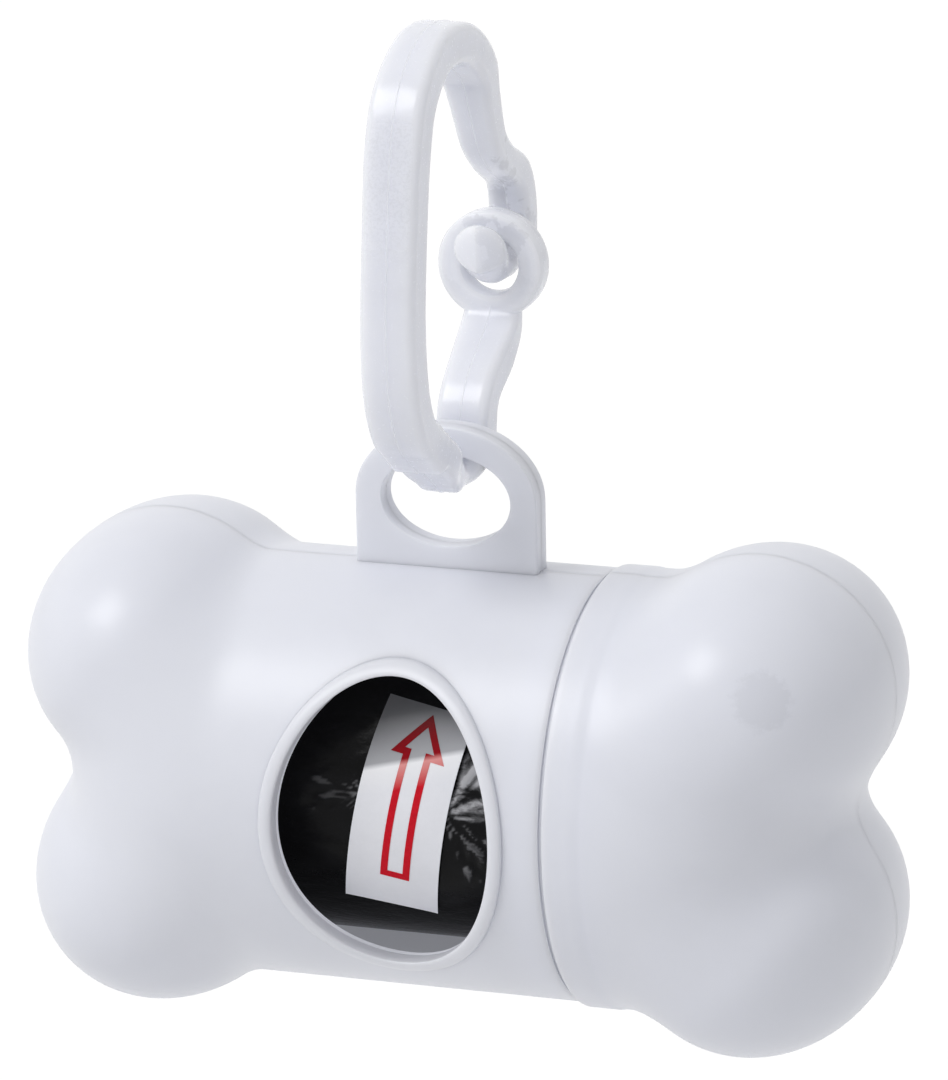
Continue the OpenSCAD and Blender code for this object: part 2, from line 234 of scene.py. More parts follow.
def clear_selection():
    if bpy.context.object and bpy.context.object.mode != "OBJECT":
        bpy.ops.object.mode_set(mode="OBJECT")
    bpy.ops.object.select_all(action="DESELECT")


def only(obj):
    """Selects obj alone and makes it active."""
    clear_selection()
    obj.select_set(True)
    bpy.context.view_layer.objects.active = obj
    return obj


def added(name):
    """Names the primitive that was just added."""
    obj = bpy.context.object
    obj.name = name
    obj.data.name = name
    return obj


def positions(obj):
    points = np.empty(len(obj.data.vertices) * 3)
    obj.data.vertices.foreach_get("co", points)
    return points.reshape(-1, 3)


def place(obj, points):
    """Moves each vertex to its point, given from the bone's middle, and leaves the object at the origin."""
    obj.matrix_world = Matrix.Identity(4)
    placed = np.asarray(points, float) + np.array(BONE)
    obj.data.vertices.foreach_set("co", placed.ravel())
    obj.data.update()
    return obj


def grid(name, along, around):
    """Adds a grid and gives it with each vertex's share along and around, from 0 to 1."""
    clear_selection()
    bpy.ops.mesh.primitive_grid_add(x_subdivisions=along, y_subdivisions=around, size=2)
    obj = added(name)
    flat = positions(obj)
    return obj, (flat[:, 0] + 1) / 2, (flat[:, 1] + 1) / 2


def edit(obj):
    only(obj)
    bpy.ops.object.mode_set(mode="EDIT")
    bpy.ops.mesh.select_all(action="SELECT")


def leave_edit():
    bpy.ops.object.mode_set(mode="OBJECT")


def merge(obj):
    edit(obj)
    bpy.ops.mesh.remove_doubles(threshold=SAME_POINT)
    leave_edit()


def face_out(obj, inside):
    """Turns an open sheet's faces over if they point towards what is inside it."""
    outward = 0.0
    for face in obj.data.polygons:
        outward += face.area * face.normal.dot(face.center - Vector(inside(face.center)))
    if outward < 0:
        edit(obj)
        bpy.ops.mesh.flip_normals()
        leave_edit()


def closed(obj, points):
    """Places a closed form's vertices and points its faces outwards."""
    place(obj, points)
    edit(obj)
    bpy.ops.mesh.normals_make_consistent(inside=False)
    leave_edit()
    return obj


def close_and_recalculate(obj, bridge=False):
    """Merges doubles, fills or bridges the open ends, and points the faces outwards."""
    edit(obj)
    bpy.ops.mesh.remove_doubles(threshold=SAME_POINT)
    bpy.ops.mesh.select_all(action="DESELECT")
    bpy.ops.mesh.select_mode(type="EDGE")
    bpy.ops.mesh.select_non_manifold(extend=False, use_wire=False, use_multi_face=False)
    if bridge:
        bpy.ops.mesh.bridge_edge_loops()
    else:
        bpy.ops.mesh.fill_holes(sides=0)
    bpy.ops.mesh.select_mode(type="VERT")
    bpy.ops.mesh.select_all(action="SELECT")
    bpy.ops.mesh.normals_make_consistent(inside=False)
    leave_edit()


def modify(obj, kind, **settings):
    """Adds a modifier with these settings and applies it."""
    only(obj)
    bpy.ops.object.modifier_add(type=kind)
    modifier = obj.modifiers[-1]
    for key, value in settings.items():
        setattr(modifier, key, value)
    bpy.ops.object.modifier_apply(modifier=modifier.name)


def cut(obj, cutter, operation="DIFFERENCE"):
    modify(obj, "BOOLEAN", operation=operation, solver="EXACT", object=cutter)
    bpy.data.objects.remove(cutter, do_unlink=True)


def join(pieces, name):
    only(pieces[0])
    for piece in pieces[1:]:
        piece.select_set(True)
    bpy.ops.object.join()
    return added(name)


def smooth(obj, degrees=38):
    only(obj)
    bpy.ops.object.shade_smooth_by_angle(angle=math.radians(degrees))


def finish_piece(obj, material, body, slot, *nodes):
    """Gives a finished piece its material and the body it moves with, and hides the imported parts it stands
    for.
    """
    obj.data.materials.clear()
    obj.data.materials.append(material)
    if nodes:
        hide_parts(*nodes)
    if body:
        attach(obj, body)


# ---------------------------------------------------------------- the bone's form

BISECTIONS = 36
SKIN_STEP, SKIN_AROUND = 0.52 * MM, 116
FAN_BACK = 4 * MM  # the rays to a lobed end fan out from this far behind the lobes' middles
FAN_REACH = 34 * MM  # length of skin that the fan covers
COLLAR_RUN = 0.5 * MM


def smooth_min(a, b, k):
    h = np.clip(0.5 + 0.5 * (b - a) / k, 0, 1)
    return b * (1 - h) + a * h - k * h * (1 - h)


def bone_distance(p, radius, s):
    """Distance outside one end of the bone, with that end towards +X and the barrel of this radius."""
    x, y, z = p[:, 0], p[:, 1], p[:, 2]
    deep, n = np.abs(y / s.lobe_half_depth), s.lobe_fullness
    upper, lower = (
        s.lobe_r * (((np.hypot(x - s.lobe_x, z - up * s.lobe_z) / s.lobe_r) ** n + deep**n) ** (1 / n) - 1)
        for up in (1, -1)
    )
    along = x - s.drum_end + s.drum_edge
    out = np.hypot(y, z) - radius + s.drum_edge
    drum = np.minimum(np.maximum(along, out), 0) - s.drum_edge
    drum += np.hypot(np.maximum(along, 0), np.maximum(out, 0))
    side = np.minimum(1, (y / (s.barrel_d / 2)) ** 2)
    blend = s.barrel_blend + (s.side_blend - s.barrel_blend) * side
    return smooth_min(smooth_min(upper, lower, s.lobe_blend), drum, blend)


def on_skin(origin, direction, radius, s):
    """Points where rays from inside the bone meet its skin."""
    near = np.zeros(len(origin))
    far = np.full(len(origin), s.lobe_x + s.lobe_r)
    for _ in range(BISECTIONS):
        mid = (near + far) / 2
        inside = bone_distance(origin + mid[:, None] * direction, radius, s) < 0
        near = np.where(inside, mid, near)
        far = np.where(inside, far, mid)
    return origin + near[:, None] * direction


def half_skin(name, side, end, mouth_x, radius, s):
    """Half of one end of the bone, from its mouth to its tip, as a wall of even thickness."""
    fan_x = s.lobe_x - FAN_BACK
    reach = fan_x - mouth_x
    obj, u, v = grid(name, round((reach + FAN_REACH) / SKIN_STEP), SKIN_AROUND)
    straight = reach / (reach + FAN_REACH)
    lean = np.clip((u - straight) / (1 - straight), 0, 1) * math.pi / 2
    turn = (v - 0.5) * math.pi
    start = np.where(u < straight, mouth_x + reach * u / straight, fan_x)
    origin = np.stack([start, 0 * start, 0 * start], 1)
    direction = np.stack(
        [np.sin(lean), side * np.cos(lean) * np.cos(turn), np.cos(lean) * np.sin(turn)], 1
    )
    points = on_skin(origin, direction, radius, s)
    if end == CAP_END:
        past = np.clip((points[:, 0] - mouth_x - s.collar_w) / COLLAR_RUN, 0, 1)
        points[:, 1:] *= (1 - s.collar_fall / (s.barrel_d / 2) * past**2 * (3 - 2 * past))[:, None]
    points[:, 0] *= end
    place(obj, points)
    merge(obj)
    face_out(obj, lambda c: (min(max(c.x, BONE.x - fan_x), BONE.x + fan_x), BONE.y, BONE.z))
    modify(obj, "SOLIDIFY", thickness=s.wall, offset=-1, use_even_offset=True)
    return obj


def half_tube(name, side, outline, wall):
    """Half of a turned tube whose outer line is given as (x, radius) points."""
    steps = len(outline) - 1
    obj, u, v = grid(name, steps, 96)
    row = np.rint(u * steps).astype(int)
    line = np.array(outline)
    x, r = line[row, 0], line[row, 1]
    turn = (v - 0.5) * math.pi
    place(obj, np.stack([x, side * r * np.cos(turn), r * np.sin(turn)], 1))
    face_out(obj, lambda c: (c.x, BONE.y, BONE.z))
    modify(obj, "SOLIDIFY", thickness=wall, offset=-1, use_even_offset=True)
    return obj


def oval_cutter(width, height, x, depth_from, depth_to):
    """Oval prism along Y, to cut the window."""
    clear_selection()
    bpy.ops.mesh.primitive_cylinder_add(vertices=224, radius=0.5, depth=1)
    obj = added("cutter")
    p = positions(obj)
    depth = depth_from + (p[:, 2] + 0.5) * (depth_to - depth_from)
    return closed(obj, np.stack([x + p[:, 0] * width, depth, p[:, 1] * height], 1))


def ring(name, profile, around=224):
    """Adds a closed ring and gives it with each vertex's turn and its place on the profile."""
    clear_selection()
    bpy.ops.mesh.primitive_torus_add(
        major_segments=around, minor_segments=len(profile), major_radius=1, minor_radius=0.25
    )
    obj = added(name)
    p = positions(obj)
    turn = np.arctan2(p[:, 1], p[:, 0])
    minor = np.arctan2(p[:, 2], np.hypot(p[:, 0], p[:, 1]) - 1)
    row = np.rint(minor / (2 * math.pi) * len(profile)).astype(int) % len(profile)
    return obj, turn, np.array(profile)[row]


def round_parting(skin, s):
    """Rounds the edges where a shell is split or cut."""
    modify(skin, "BEVEL", width=s.parting, segments=2, limit_method="ANGLE", angle_limit=PARTING_ANGLE)


def window_rim(s):
    """Rounded bead round the window, with the window's inner wall."""
    profile = [(0.0, -s.wall), (0.0, -1.1 * MM), (0.0, -0.6 * MM), (0.0, -0.2 * MM), (0.0, 0.12 * MM)]
    middle, half = s.rim_w * 0.48, s.rim_w * 0.48
    for k in range(1, 12):
        lean = math.pi * (1 - k / 12)
        low = 0.12 * MM if k < 6 else -0.12 * MM
        rise = (s.rim_h - low) * math.sin(lean) ** 0.45
        profile.append((middle + half * math.cos(lean), low + rise))
    profile += [(s.rim_w, -0.12 * MM), (s.rim_w * 0.93, -0.5 * MM), (s.rim_w * 0.9, -s.wall * 0.97)]
    profile.append((s.rim_w * 0.5, -s.wall))
    obj, turn, line = ring("window_rim", profile)
    out, rise = line[:, 0], line[:, 1]
    a, b = s.window_w / 2, s.window_h / 2
    normal = np.stack([np.cos(turn) / a, np.sin(turn) / b], 1)
    normal /= np.linalg.norm(normal, axis=1)[:, None]
    x = s.window_x + a * np.cos(turn) + out * normal[:, 0]
    z = b * np.sin(turn) + out * normal[:, 1]
    y = -np.sqrt((s.barrel_d / 2 + rise) ** 2 - z**2)
    return closed(obj, np.stack([x, y, z], 1))


def lug_half(name, side, s):
    """Half of the lug: an arched plate with an oval hole and rounded outer edges."""
    root = s.barrel_d / 2 - s.wall / 2
    top = s.barrel_d / 2 + s.lug_h
    spring = top - s.lug_arch
    hole_z = top - s.lug_band - s.lug_hole_h / 2
    face, gap = s.lug_t / 2, s.parting
    on_hole, on_edge = 0, 1
    profile = [(on_hole, gap, 0), (on_hole, 0, gap), (on_hole, 0, face / 2)]
    for edge, r, sweep_from in ((on_hole, s.lug_round * 0.6, 0), (on_edge, s.lug_round, 1)):
        for k in range(7):
            lean = math.pi / 2 * (k / 6 if sweep_from == 0 else 1 - k / 6)
            profile.append((edge, r * (1 - math.cos(lean)), face - r * (1 - math.sin(lean))))
    profile += [(on_edge, 0, face / 2), (on_edge, 0, gap), (on_edge, gap, 0)]
    obj, turn, line = ring(name, profile)
    which, inset, depth = line[:, 0], line[:, 1], line[:, 2]
    ray = np.stack([np.cos(turn), np.sin(turn)], 1)
    a, b = s.lug_hole_w / 2 + inset, s.lug_hole_h / 2 + inset
    hole_reach = 1 / np.hypot(ray[:, 0] / a, ray[:, 1] / b)
    near, far = np.zeros(len(turn)), np.full(len(turn), 2 * s.lug_h)
    for _ in range(BISECTIONS):
        mid = (near + far) / 2
        x, z = mid * ray[:, 0], hole_z + mid * ray[:, 1]
        half_w = s.lug_w / 2 - inset
        over = np.maximum(z - spring, 0) / (s.lug_arch - inset)
        inside = (z > root) & ((x / half_w) ** 2 + over**2 < 1)
        near, far = np.where(inside, mid, near), np.where(inside, far, mid)
    reach = np.where(which == on_hole, hole_reach, near)
    return closed(obj, np.stack([s.lug_x + reach * ray[:, 0], side * depth, hole_z + reach * ray[:, 1]], 1))


def thread(s):
    """Low round thread on the neck, inside the cap."""
    neck_r = s.barrel_d / 2 + s.collar_step - s.wall - s.neck_clear
    turns, height, half_w = 2.4, 0.22 * MM, 0.55 * MM
    start = s.seam_x + 1.0 * MM
    profile = [(-1.0, -0.5), (-0.55, 0.55), (-0.2, 0.95), (0.2, 0.95), (0.55, 0.55), (1.0, -0.5)]
    obj, u, v = grid("neck_thread", round(turns * 90), len(profile) - 1)
    row = np.rint(v * (len(profile) - 1)).astype(int)
    line = np.array(profile)
    fade = np.clip(np.minimum(u, 1 - u) * 18, 0, 1)
    x = start + s.thread_pitch * turns * u * 0.75 + line[row, 0] * half_w
    r = neck_r + line[row, 1] * height * fade - (1 - fade) * 0.1 * MM
    turn = 2 * math.pi * turns * u
    place(obj, np.stack([x, r * np.cos(turn), r * np.sin(turn)], 1))
    face_out(obj, lambda c: (c.x, BONE.y, BONE.z))
    modify(obj, "SOLIDIFY", thickness=0.25 * MM, offset=-1)
    return obj


# ---------------------------------------------------------------- the hook's form

# Points of the hook from the gate's eye round to its nose, from the bar in the lug, in millimetres:
# towards the rear, up, width, thickness.
GATE_POINTS = [
    (12.0, 13.5, 5.0, 1.9),
    (11.75, 12.0, 5.4, 2.1),
    (10.85, 10.5, 5.5, 2.8),
    (8.8, 8.7, 5.3, 3.5),
    (5.9, 6.8, 5.0, 3.5),
    (4.5, 5.2, 5.0, 3.6),
]
FRAME_POINTS = [
    (4.1, 3.8, 5.0, 3.7),
    (3.7, 2.2, 5.0, 3.6),
    (2.4, 0.4, 4.2, 3.2),
    (0.0, 0.0, 3.4, 3.0),
    (-2.6, 0.4, 4.1, 3.0),
    (-3.7, 1.1, 4.4, 3.0),
    (-5.0, 2.0, 5.1, 3.0),
    (-6.6, 3.04, 5.15, 3.0),
    (-7.4, 3.56, 5.15, 3.0),
    (-8.0, 3.94, 5.2, 3.95),
    (-8.7, 4.4, 5.2, 3.95),
    (-9.5, 4.96, 5.22, 3.94),
    (-10.7, 5.85, 5.26, 3.9),
    (-12.6, 7.4, 5.3, 3.8),
    (-14.2, 11.4, 5.3, 3.9),
    (-14.5, 17.6, 5.2, 3.9),
    (-13.6, 25.6, 5.2, 3.9),
    (-12.4, 32.4, 5.3, 3.9),
    (-10.2, 36.9, 5.2, 3.9),
    (-5.1, 39.8, 4.9, 3.9),
    (1.2, 39.4, 4.9, 3.8),
    (6.0, 36.3, 4.8, 3.8),
    (7.8, 33.0, 4.2, 3.5),
    (9.8, 28.9, 3.9, 3.1),
    (12.6, 26.4, 3.8, 3.0),
    (16.5, 24.1, 3.9, 3.2),
    (17.7, 20.4, 4.0, 3.3),
    (17.0, 15.4, 4.1, 3.4),
]
EYE_AT = (12.1, 16.65)
# The peg's rings from its root to its nose: depth, height, half width, half height, and the ring's lean.
PEG_RINGS = [
    (17.6, 17.3, 1.5, 1.3, 0),
    (16.0, 17.1, 1.9, 1.75, 0),
    (13.6, 16.85, 2.05, 2.0, 0),
    (11.2, 16.95, 2.0, 2.0, 0),
    (10.6, 17.15, 2.0, 1.95, 8),
    (10.0, 17.5, 2.1, 1.85, 20),
    (9.6, 17.95, 2.3, 1.9, 22),
    (9.2, 18.35, 2.42, 2.05, 15),
    (8.6, 18.75, 2.46, 2.15, 6),
    (8.2, 18.85, 2.4, 2.2, 2),
    (7.95, 18.85, 2.1, 2.2, 0),
    (7.5, 18.85, 1.0, 2.15, 0),
    (7.15, 18.85, 0.0, 2.05, 0),
]
PEG_RINGS_D = 4.1  # the diameter that the peg's rings are drawn for
# The bar is round where it lies in the lug: how far to each side, and up.
ROUND_REACH, ROUND_TOP = 2.6, 2.2
# Before the shoulder the bar's inner face is levelled with it: from where, below which height, and over
# what run it reaches the shoulder's half thickness.
SHOULDER_FROM, SHOULDER_TOP, SHOULDER_RUN, SHOULDER_HALF = -3.7, 4.6, 2, 1.975
SPAN_STEPS = 9
CORNER_STEPS = 5
# The gate's piece ends this many spans past its own points, where the lug hides the split.
HIDDEN_SPANS = 2


def smooth_track(points):
    """Smooth path through the points, SPAN_STEPS samples to a span."""
    p = np.array([np.subtract(np.multiply(2, points[0]), points[1])] + list(points)
                 + [np.subtract(np.multiply(2, points[-1]), points[-2])])
    track = []
    for i in range(len(points) - 1):
        a, b, c, d = p[i : i + 4]
        for k in range(SPAN_STEPS):
            t = k / SPAN_STEPS
            track.append(0.5 * (2 * b + (c - a) * t + (2 * a - 5 * b + 4 * c - d) * t**2
                                + (3 * b - a - 3 * c + d) * t**3))
    return np.array(track + [p[-2]])


def section(width, thick, corner, bead):
    """Rounded oblong section with a fine mould line on the two faces along the hook's plane."""
    c = min(corner, width / 2 - 0.02, thick / 2 - 0.02)
    points = []
    for quarter in range(4):
        right = 1 if quarter in (0, 3) else -1
        up = 1 if quarter < 2 else -1
        for k in range(CORNER_STEPS + 1):
            turn = math.pi / 2 * (quarter + k / CORNER_STEPS)
            x, rise = c * math.cos(turn), c * math.sin(turn)
            points.append((right * (width / 2 - c) + x, up * (thick / 2 - c) + rise))
        if quarter in (0, 2):
            flat = (width / 2 - c) * 0.93
            foot, crest = min(0.09, flat * 0.6), min(0.03, flat * 0.3)
            for x, rise in ((flat, 0), (foot, 0), (crest, bead), (-crest, bead), (-foot, 0), (-flat, 0)):
                points.append((right * x, up * (thick / 2 + rise)))
        else:
            flat = (thick / 2 - c) * 0.9
            points += [(right * width / 2, up * flat), (right * width / 2, -up * flat)]
    return points


def sweep(name, track, ahead, h):
    """Bar of changing section along a track in the hook's plane."""
    corner, bead = h.corner_r / MM, h.bead / MM
    around = len(section(5, 4, 1, 0))
    obj, u, v = grid(name, len(track) - 1, around)
    row = np.rint(u * (len(track) - 1)).astype(int)
    spot = np.rint(v * around).astype(int) % around
    rings = []
    for (y, z, width, thick), (dy, dz) in zip(track, ahead):
        near_lug = 0.0
        if z < ROUND_TOP:
            near_lug = max(0.0, 1 - max(abs(y) / ROUND_REACH, abs(z) / ROUND_TOP)) ** 0.5
        r = corner + (min(width, thick) / 2 - corner) * near_lug
        level = 0.0
        if y < SHOULDER_FROM and z < SHOULDER_TOP:
            level = max(0.0, SHOULDER_HALF - thick / 2) * min(1.0, (SHOULDER_FROM - y) / SHOULDER_RUN)
        outline = [(x, t - level if t < 0 else t) for x, t in section(width, thick, r, bead * (1 - near_lug))]
        rings.append([(x, y - dz * t, z + dy * t) for x, t in outline])
    points = np.array(rings)[row, spot] * MM
    place(obj, points + np.array(BAR - BONE))
    close_and_recalculate(obj)
    return obj


def hook_tracks():
    track = smooth_track(GATE_POINTS + FRAME_POINTS)
    ahead = np.gradient(track[:, :2], axis=0)
    ahead /= np.linalg.norm(ahead, axis=1)[:, None]
    split = (len(GATE_POINTS) + HIDDEN_SPANS) * SPAN_STEPS
    return track, ahead, split


def peg(h):
    """Peg through the eye, with a wedge-nosed head that hooks up over the eye's edge."""
    scale = h.peg_d / MM / PEG_RINGS_D
    around, last = 48, len(PEG_RINGS) - 1
    obj, u, v = grid("peg", last, around)
    turn = 2 * math.pi * v
    y, z, half_x, half_z, lean = np.array(PEG_RINGS)[np.rint(u * last).astype(int)].T
    up = half_z * scale * np.sin(turn)
    lean = np.radians(lean)
    points = np.stack([half_x * scale * np.cos(turn), y + up * np.sin(lean), z + up * np.cos(lean)], 1)
    place(obj, points * MM + np.array(BAR - BONE))
    close_and_recalculate(obj)
    return obj


def eye(h):
    """Ring of the gate, with a raised bead at its rims."""
    inner, outer, half_t = h.eye_hole_d / 2, h.eye_d / 2, h.eye_t / 2
    profile = []
    width = outer - inner
    for k in range(32):
        turn = 2 * math.pi * k / 32
        c, t = math.cos(turn), math.sin(turn)
        square = 5
        span = (abs(c) ** square + abs(t) ** square) ** (-1 / square)
        radial = (inner + outer) / 2 + width / 2 * span * c
        dish = 0.16 * MM * max(0.0, 1 - (span * c / 0.72) ** 2) ** 2
        depth = t * span * half_t
        profile.append((radial, depth - math.copysign(dish, t) if abs(t) > 0.3 else depth))
    obj, major, line = ring("eye", profile, 96)
    r, depth = line[:, 0], line[:, 1]
    points = np.stack([r * np.cos(major), depth + EYE_AT[0] * MM, r * np.sin(major) + EYE_AT[1] * MM], 1)
    return closed(obj, points + np.array(BAR - BONE))


# ---------------------------------------------------------------- the roll's form


# Folds that gather at a point of the film: its place along and round the roll, the first and last heading
# of the folds, the strength of the painted highlight on the folds and on their sharp glints, and how far they
# reach.
GATHERS = [
    (3.0, 0.9, -0.2, 1.5, 1.0, 0.1, 7.5),
    (3.0, 0.9, -1.3, -0.2, 0.04, 0.24, 8.0),
    (-4.5, 2.2, 2.0, 4.2, 0.08, 0.2, 2.8),
    (-4.5, 1.6, 2.7, 3.6, 0.03, 0.08, 7.0),
]
PAPER_GAP, PAPER_T = 0.03 * MM, 0.07 * MM
INK_LIFT, INK_T = 0.115 * MM, 0.02 * MM
LONG_FOLDS = 46
FOLD_WAVES = 9


def creases(x, arc, r, height):
    """Height of the creases in the film: long soft folds, and sharp ones that gather beside the label; and
    the painted highlight (sheen) on the gathered folds.
    """
    rng = np.random.default_rng(11)
    rise = np.zeros_like(x)
    for _ in range(LONG_FOLDS):
        cx, ca = rng.uniform(-24, 20) * MM, rng.uniform(-math.pi, math.pi) * r
        turn = rng.normal(0, 0.5)
        reach, width = rng.uniform(3, 11) * MM, rng.uniform(0.25, 0.9) * MM
        deep = rng.uniform(-1, 1) * height * 0.7
        dx = x - cx
        da = (arc - ca + math.pi * r) % (2 * math.pi * r) - math.pi * r
        along = dx * math.cos(turn) + da * math.sin(turn)
        across = -dx * math.sin(turn) + da * math.cos(turn)
        bend = 1.2 * MM * np.sin(along / (5 * MM))
        rise += deep * np.exp(-((across - bend) / width) ** 2 - (along / reach) ** 2)
    sheen = np.zeros_like(x)
    for cx, ca, first, last, bright, dim, far in GATHERS:
        dx, da = x - cx * MM, arc - ca * MM
        away = np.hypot(dx, da)
        heading = (np.arctan2(da, dx) - first + 1) % (2 * math.pi) + first - 1
        inside = np.clip((heading - first) / 0.05, 0, 1) * np.clip((last - heading) / 0.3, 0, 1)
        fold = np.zeros_like(x)
        for _ in range(FOLD_WAVES):
            pace, start, drift = rng.uniform(5, 34), rng.uniform(0, 6.3), rng.normal(0, 0.9)
            fold += np.sin(pace * heading + start + drift * away / MM) / 4
        fade = inside * np.clip(away / (0.5 * MM), 0, 1) * np.clip((far * MM - away) / (2.2 * MM), 0, 1)
        rise += height * 1.3 * fold * fade * np.clip(away / (3 * MM), 0.25, 1)
        # sheen: painted highlight on the gathered folds, brightest on their crests
        lit = np.clip(0.5 + 1.1 * fold, 0, 1) ** 1.6
        sheen = np.maximum(sheen, fade * (bright * (0.12 + 0.88 * lit) + dim * lit**4))
    return rise, sheen


def film_roll(roll):
    core_gap, edge_inset = 0.02 * MM, 0.15 * MM
    low, high = (Vector(c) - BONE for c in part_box("bag_roll"))
    core_low, core_high = (Vector(c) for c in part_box("roll_core"))
    outer = (high.z - low.z) / 2
    inner = (core_high.z - core_low.z) / 2 + core_gap
    side_steps, end_steps, around = 190, 22, 400
    obj, u, v = grid("film_roll", side_steps + 2 * end_steps, around)
    row = np.rint(u * (side_steps + 2 * end_steps)).astype(int)
    turn = 2 * math.pi * np.rint(v * around) / around
    over = np.clip((row - end_steps) / side_steps, 0, 1)
    edge = np.maximum(end_steps - row, row - end_steps - side_steps).clip(0) / end_steps
    x = low.x + (high.x - low.x) * over
    r = outer - edge_inset - (outer - inner - edge_inset) * edge
    layer = 0.18 * MM * (np.sin(r / (0.33 * MM) + turn) + 0.6 * np.sin(r / (0.71 * MM) - 2 * turn + 1))
    tuck = 0.2 * MM + layer * np.clip(edge * 12, 0, 1) * 0.5
    x = np.where(edge > 0, x + np.where(row < side_steps, tuck, -tuck), x)
    rise, sheen = creases(x, outer * (((turn + math.pi) % (2 * math.pi)) - math.pi), outer, roll.crease)
    rim = np.clip(np.minimum(over, 1 - over) * 40, 0, 1) * (edge == 0)
    r = r + np.clip(rise, -0.3 * MM, 0.14 * MM) * rim
    place(obj, np.stack([x, -r * np.cos(turn), r * np.sin(turn)], 1))
    # the sheen attribute carries the painted highlight on the gathered folds into the film's colour
    mark = obj.data.attributes.new("sheen", "FLOAT", "POINT")
    mark.data.foreach_set("value", sheen * rim)
    close_and_recalculate(obj, bridge=True)
    return obj


def on_label(a, b, rise, roll):
    """Points on the label from places across and along it."""
    low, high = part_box("bag_roll")
    r = (high[2] - low[2]) / 2
    turn = roll.label_skew
    x = roll.label_x + a * math.cos(turn) + b * math.sin(turn)
    arc = -a * math.sin(turn) + b * math.cos(turn)
    up = roll.label_up + arc / r
    out = r + rise
    return np.stack([x, -out * np.cos(up), out * np.sin(up)], 1)


def label_sheet(roll):
    obj, u, v = grid("paper_label", 36, 96)
    a, b = (u - 0.5) * roll.label_w, (v - 0.5) * roll.label_len
    side = np.abs(u - 0.5) * 2
    ends = np.abs(v - 0.5) * 2
    lift = roll.label_lift * (side**6 * 0.8 + ends**10)
    ripple = 0.02 * MM * np.sin(b / (2.3 * MM)) * side
    place(obj, on_label(a, b, PAPER_GAP + lift + ripple, roll))
    face_out(obj, lambda c: (c.x, BONE.y, BONE.z))
    modify(obj, "SOLIDIFY", thickness=PAPER_T, offset=1)
    return obj


# The arrow's outline from its tip, in millimetres from the label's middle: across and up.
ARROW = [(0.35, 9.45), (2.95, 5.3), (1.6, 5.3), (1.6, -6.65), (-1.15, -6.65), (-1.15, 5.3), (-2.35, 5.3)]


def arrow(roll):
    """Printed outline of an arrow that points up, as a closed band of even width."""
    w = roll.stroke
    outline = [(x * MM, y * MM) for x, y in ARROW]
    inner = []
    count = len(outline)
    for i, point in enumerate(outline):
        before, after = Vector(outline[i - 1]), Vector(outline[(i + 1) % count])
        here = Vector(point)
        e1, e2 = (here - before).normalized(), (after - here).normalized()
        n1, n2 = Vector((e1.y, -e1.x)), Vector((e2.y, -e2.x))
        bisect = (n1 + n2).normalized()
        inner.append(here + bisect * w / max(0.3, bisect.dot(n1)))
    steps = 14
    ring_out, ring_in = [], []
    for i in range(count):
        for k in range(steps):
            t = k / steps
            ring_out.append(Vector(outline[i]).lerp(Vector(outline[(i + 1) % count]), t))
            ring_in.append(inner[i].lerp(inner[(i + 1) % count], t))
    total = len(ring_out)
    obj, u, v = grid("printed_arrow", total, 2)
    spot = np.rint(u * total).astype(int) % total
    share = v[:, None]
    flat = np.array(ring_out)[spot] * (1 - share) + np.array(ring_in)[spot] * share
    place(obj, on_label(flat[:, 0], flat[:, 1], INK_LIFT, roll))
    merge(obj)
    face_out(obj, lambda c: (c.x, BONE.y, BONE.z))
    modify(obj, "SOLIDIFY", thickness=INK_T, offset=1)
    return obj


# ---------------------------------------------------------------- finishes


def new_group(name, inputs, outputs):
    group = bpy.data.node_groups.new(name, "ShaderNodeTree")
    for label, value in inputs:
        socket = group.interface.new_socket(name=label, in_out="INPUT", socket_type="NodeSocketFloat")
        socket.default_value = value
    for label in outputs:
        group.interface.new_socket(name=label, in_out="OUTPUT", socket_type="NodeSocketFloat")
    return group, group.nodes.new("NodeGroupInput"), group.nodes.new("NodeGroupOutput")


def node(tree, kind, **settings):
    made = tree.nodes.new(kind)
    for key, value in settings.items():
        setattr(made, key, value)
    return made


def feed(tree, socket, value):
    """Sets a socket to a number, or links it to the output that gives its value."""
    if isinstance(value, (int, float)):
        socket.default_value = value
    else:
        tree.links.new(value, socket)


def set_inputs(made, **values):
    """Sets sockets by name, with _ for a space."""
    for key, value in values.items():
        made.inputs[key.replace("_", " ")].default_value = value
    return made


def object_place(tree):
    return node(tree, "ShaderNodeTexCoord").outputs["Object"]


def maths(tree, operation, a, b=0.0, c=None):
    made = node(tree, "ShaderNodeMath", operation=operation)
    for index, value in enumerate((a, b) if c is None else (a, b, c)):
        feed(tree, made.inputs[index], value)
    return made.outputs[0]


def clamped(tree, value):
    return maths(tree, "MINIMUM", maths(tree, "MAXIMUM", value, 0.0), 1.0)


def noise(tree, vector, scale, detail=3.0, rough=0.5, distortion=0.0):
    made = node(tree, "ShaderNodeTexNoise")
    tree.links.new(vector, made.inputs["Vector"])
    feed(tree, made.inputs["Scale"], scale)
    return set_inputs(made, Detail=detail, Roughness=rough, Distortion=distortion).outputs["Fac"]


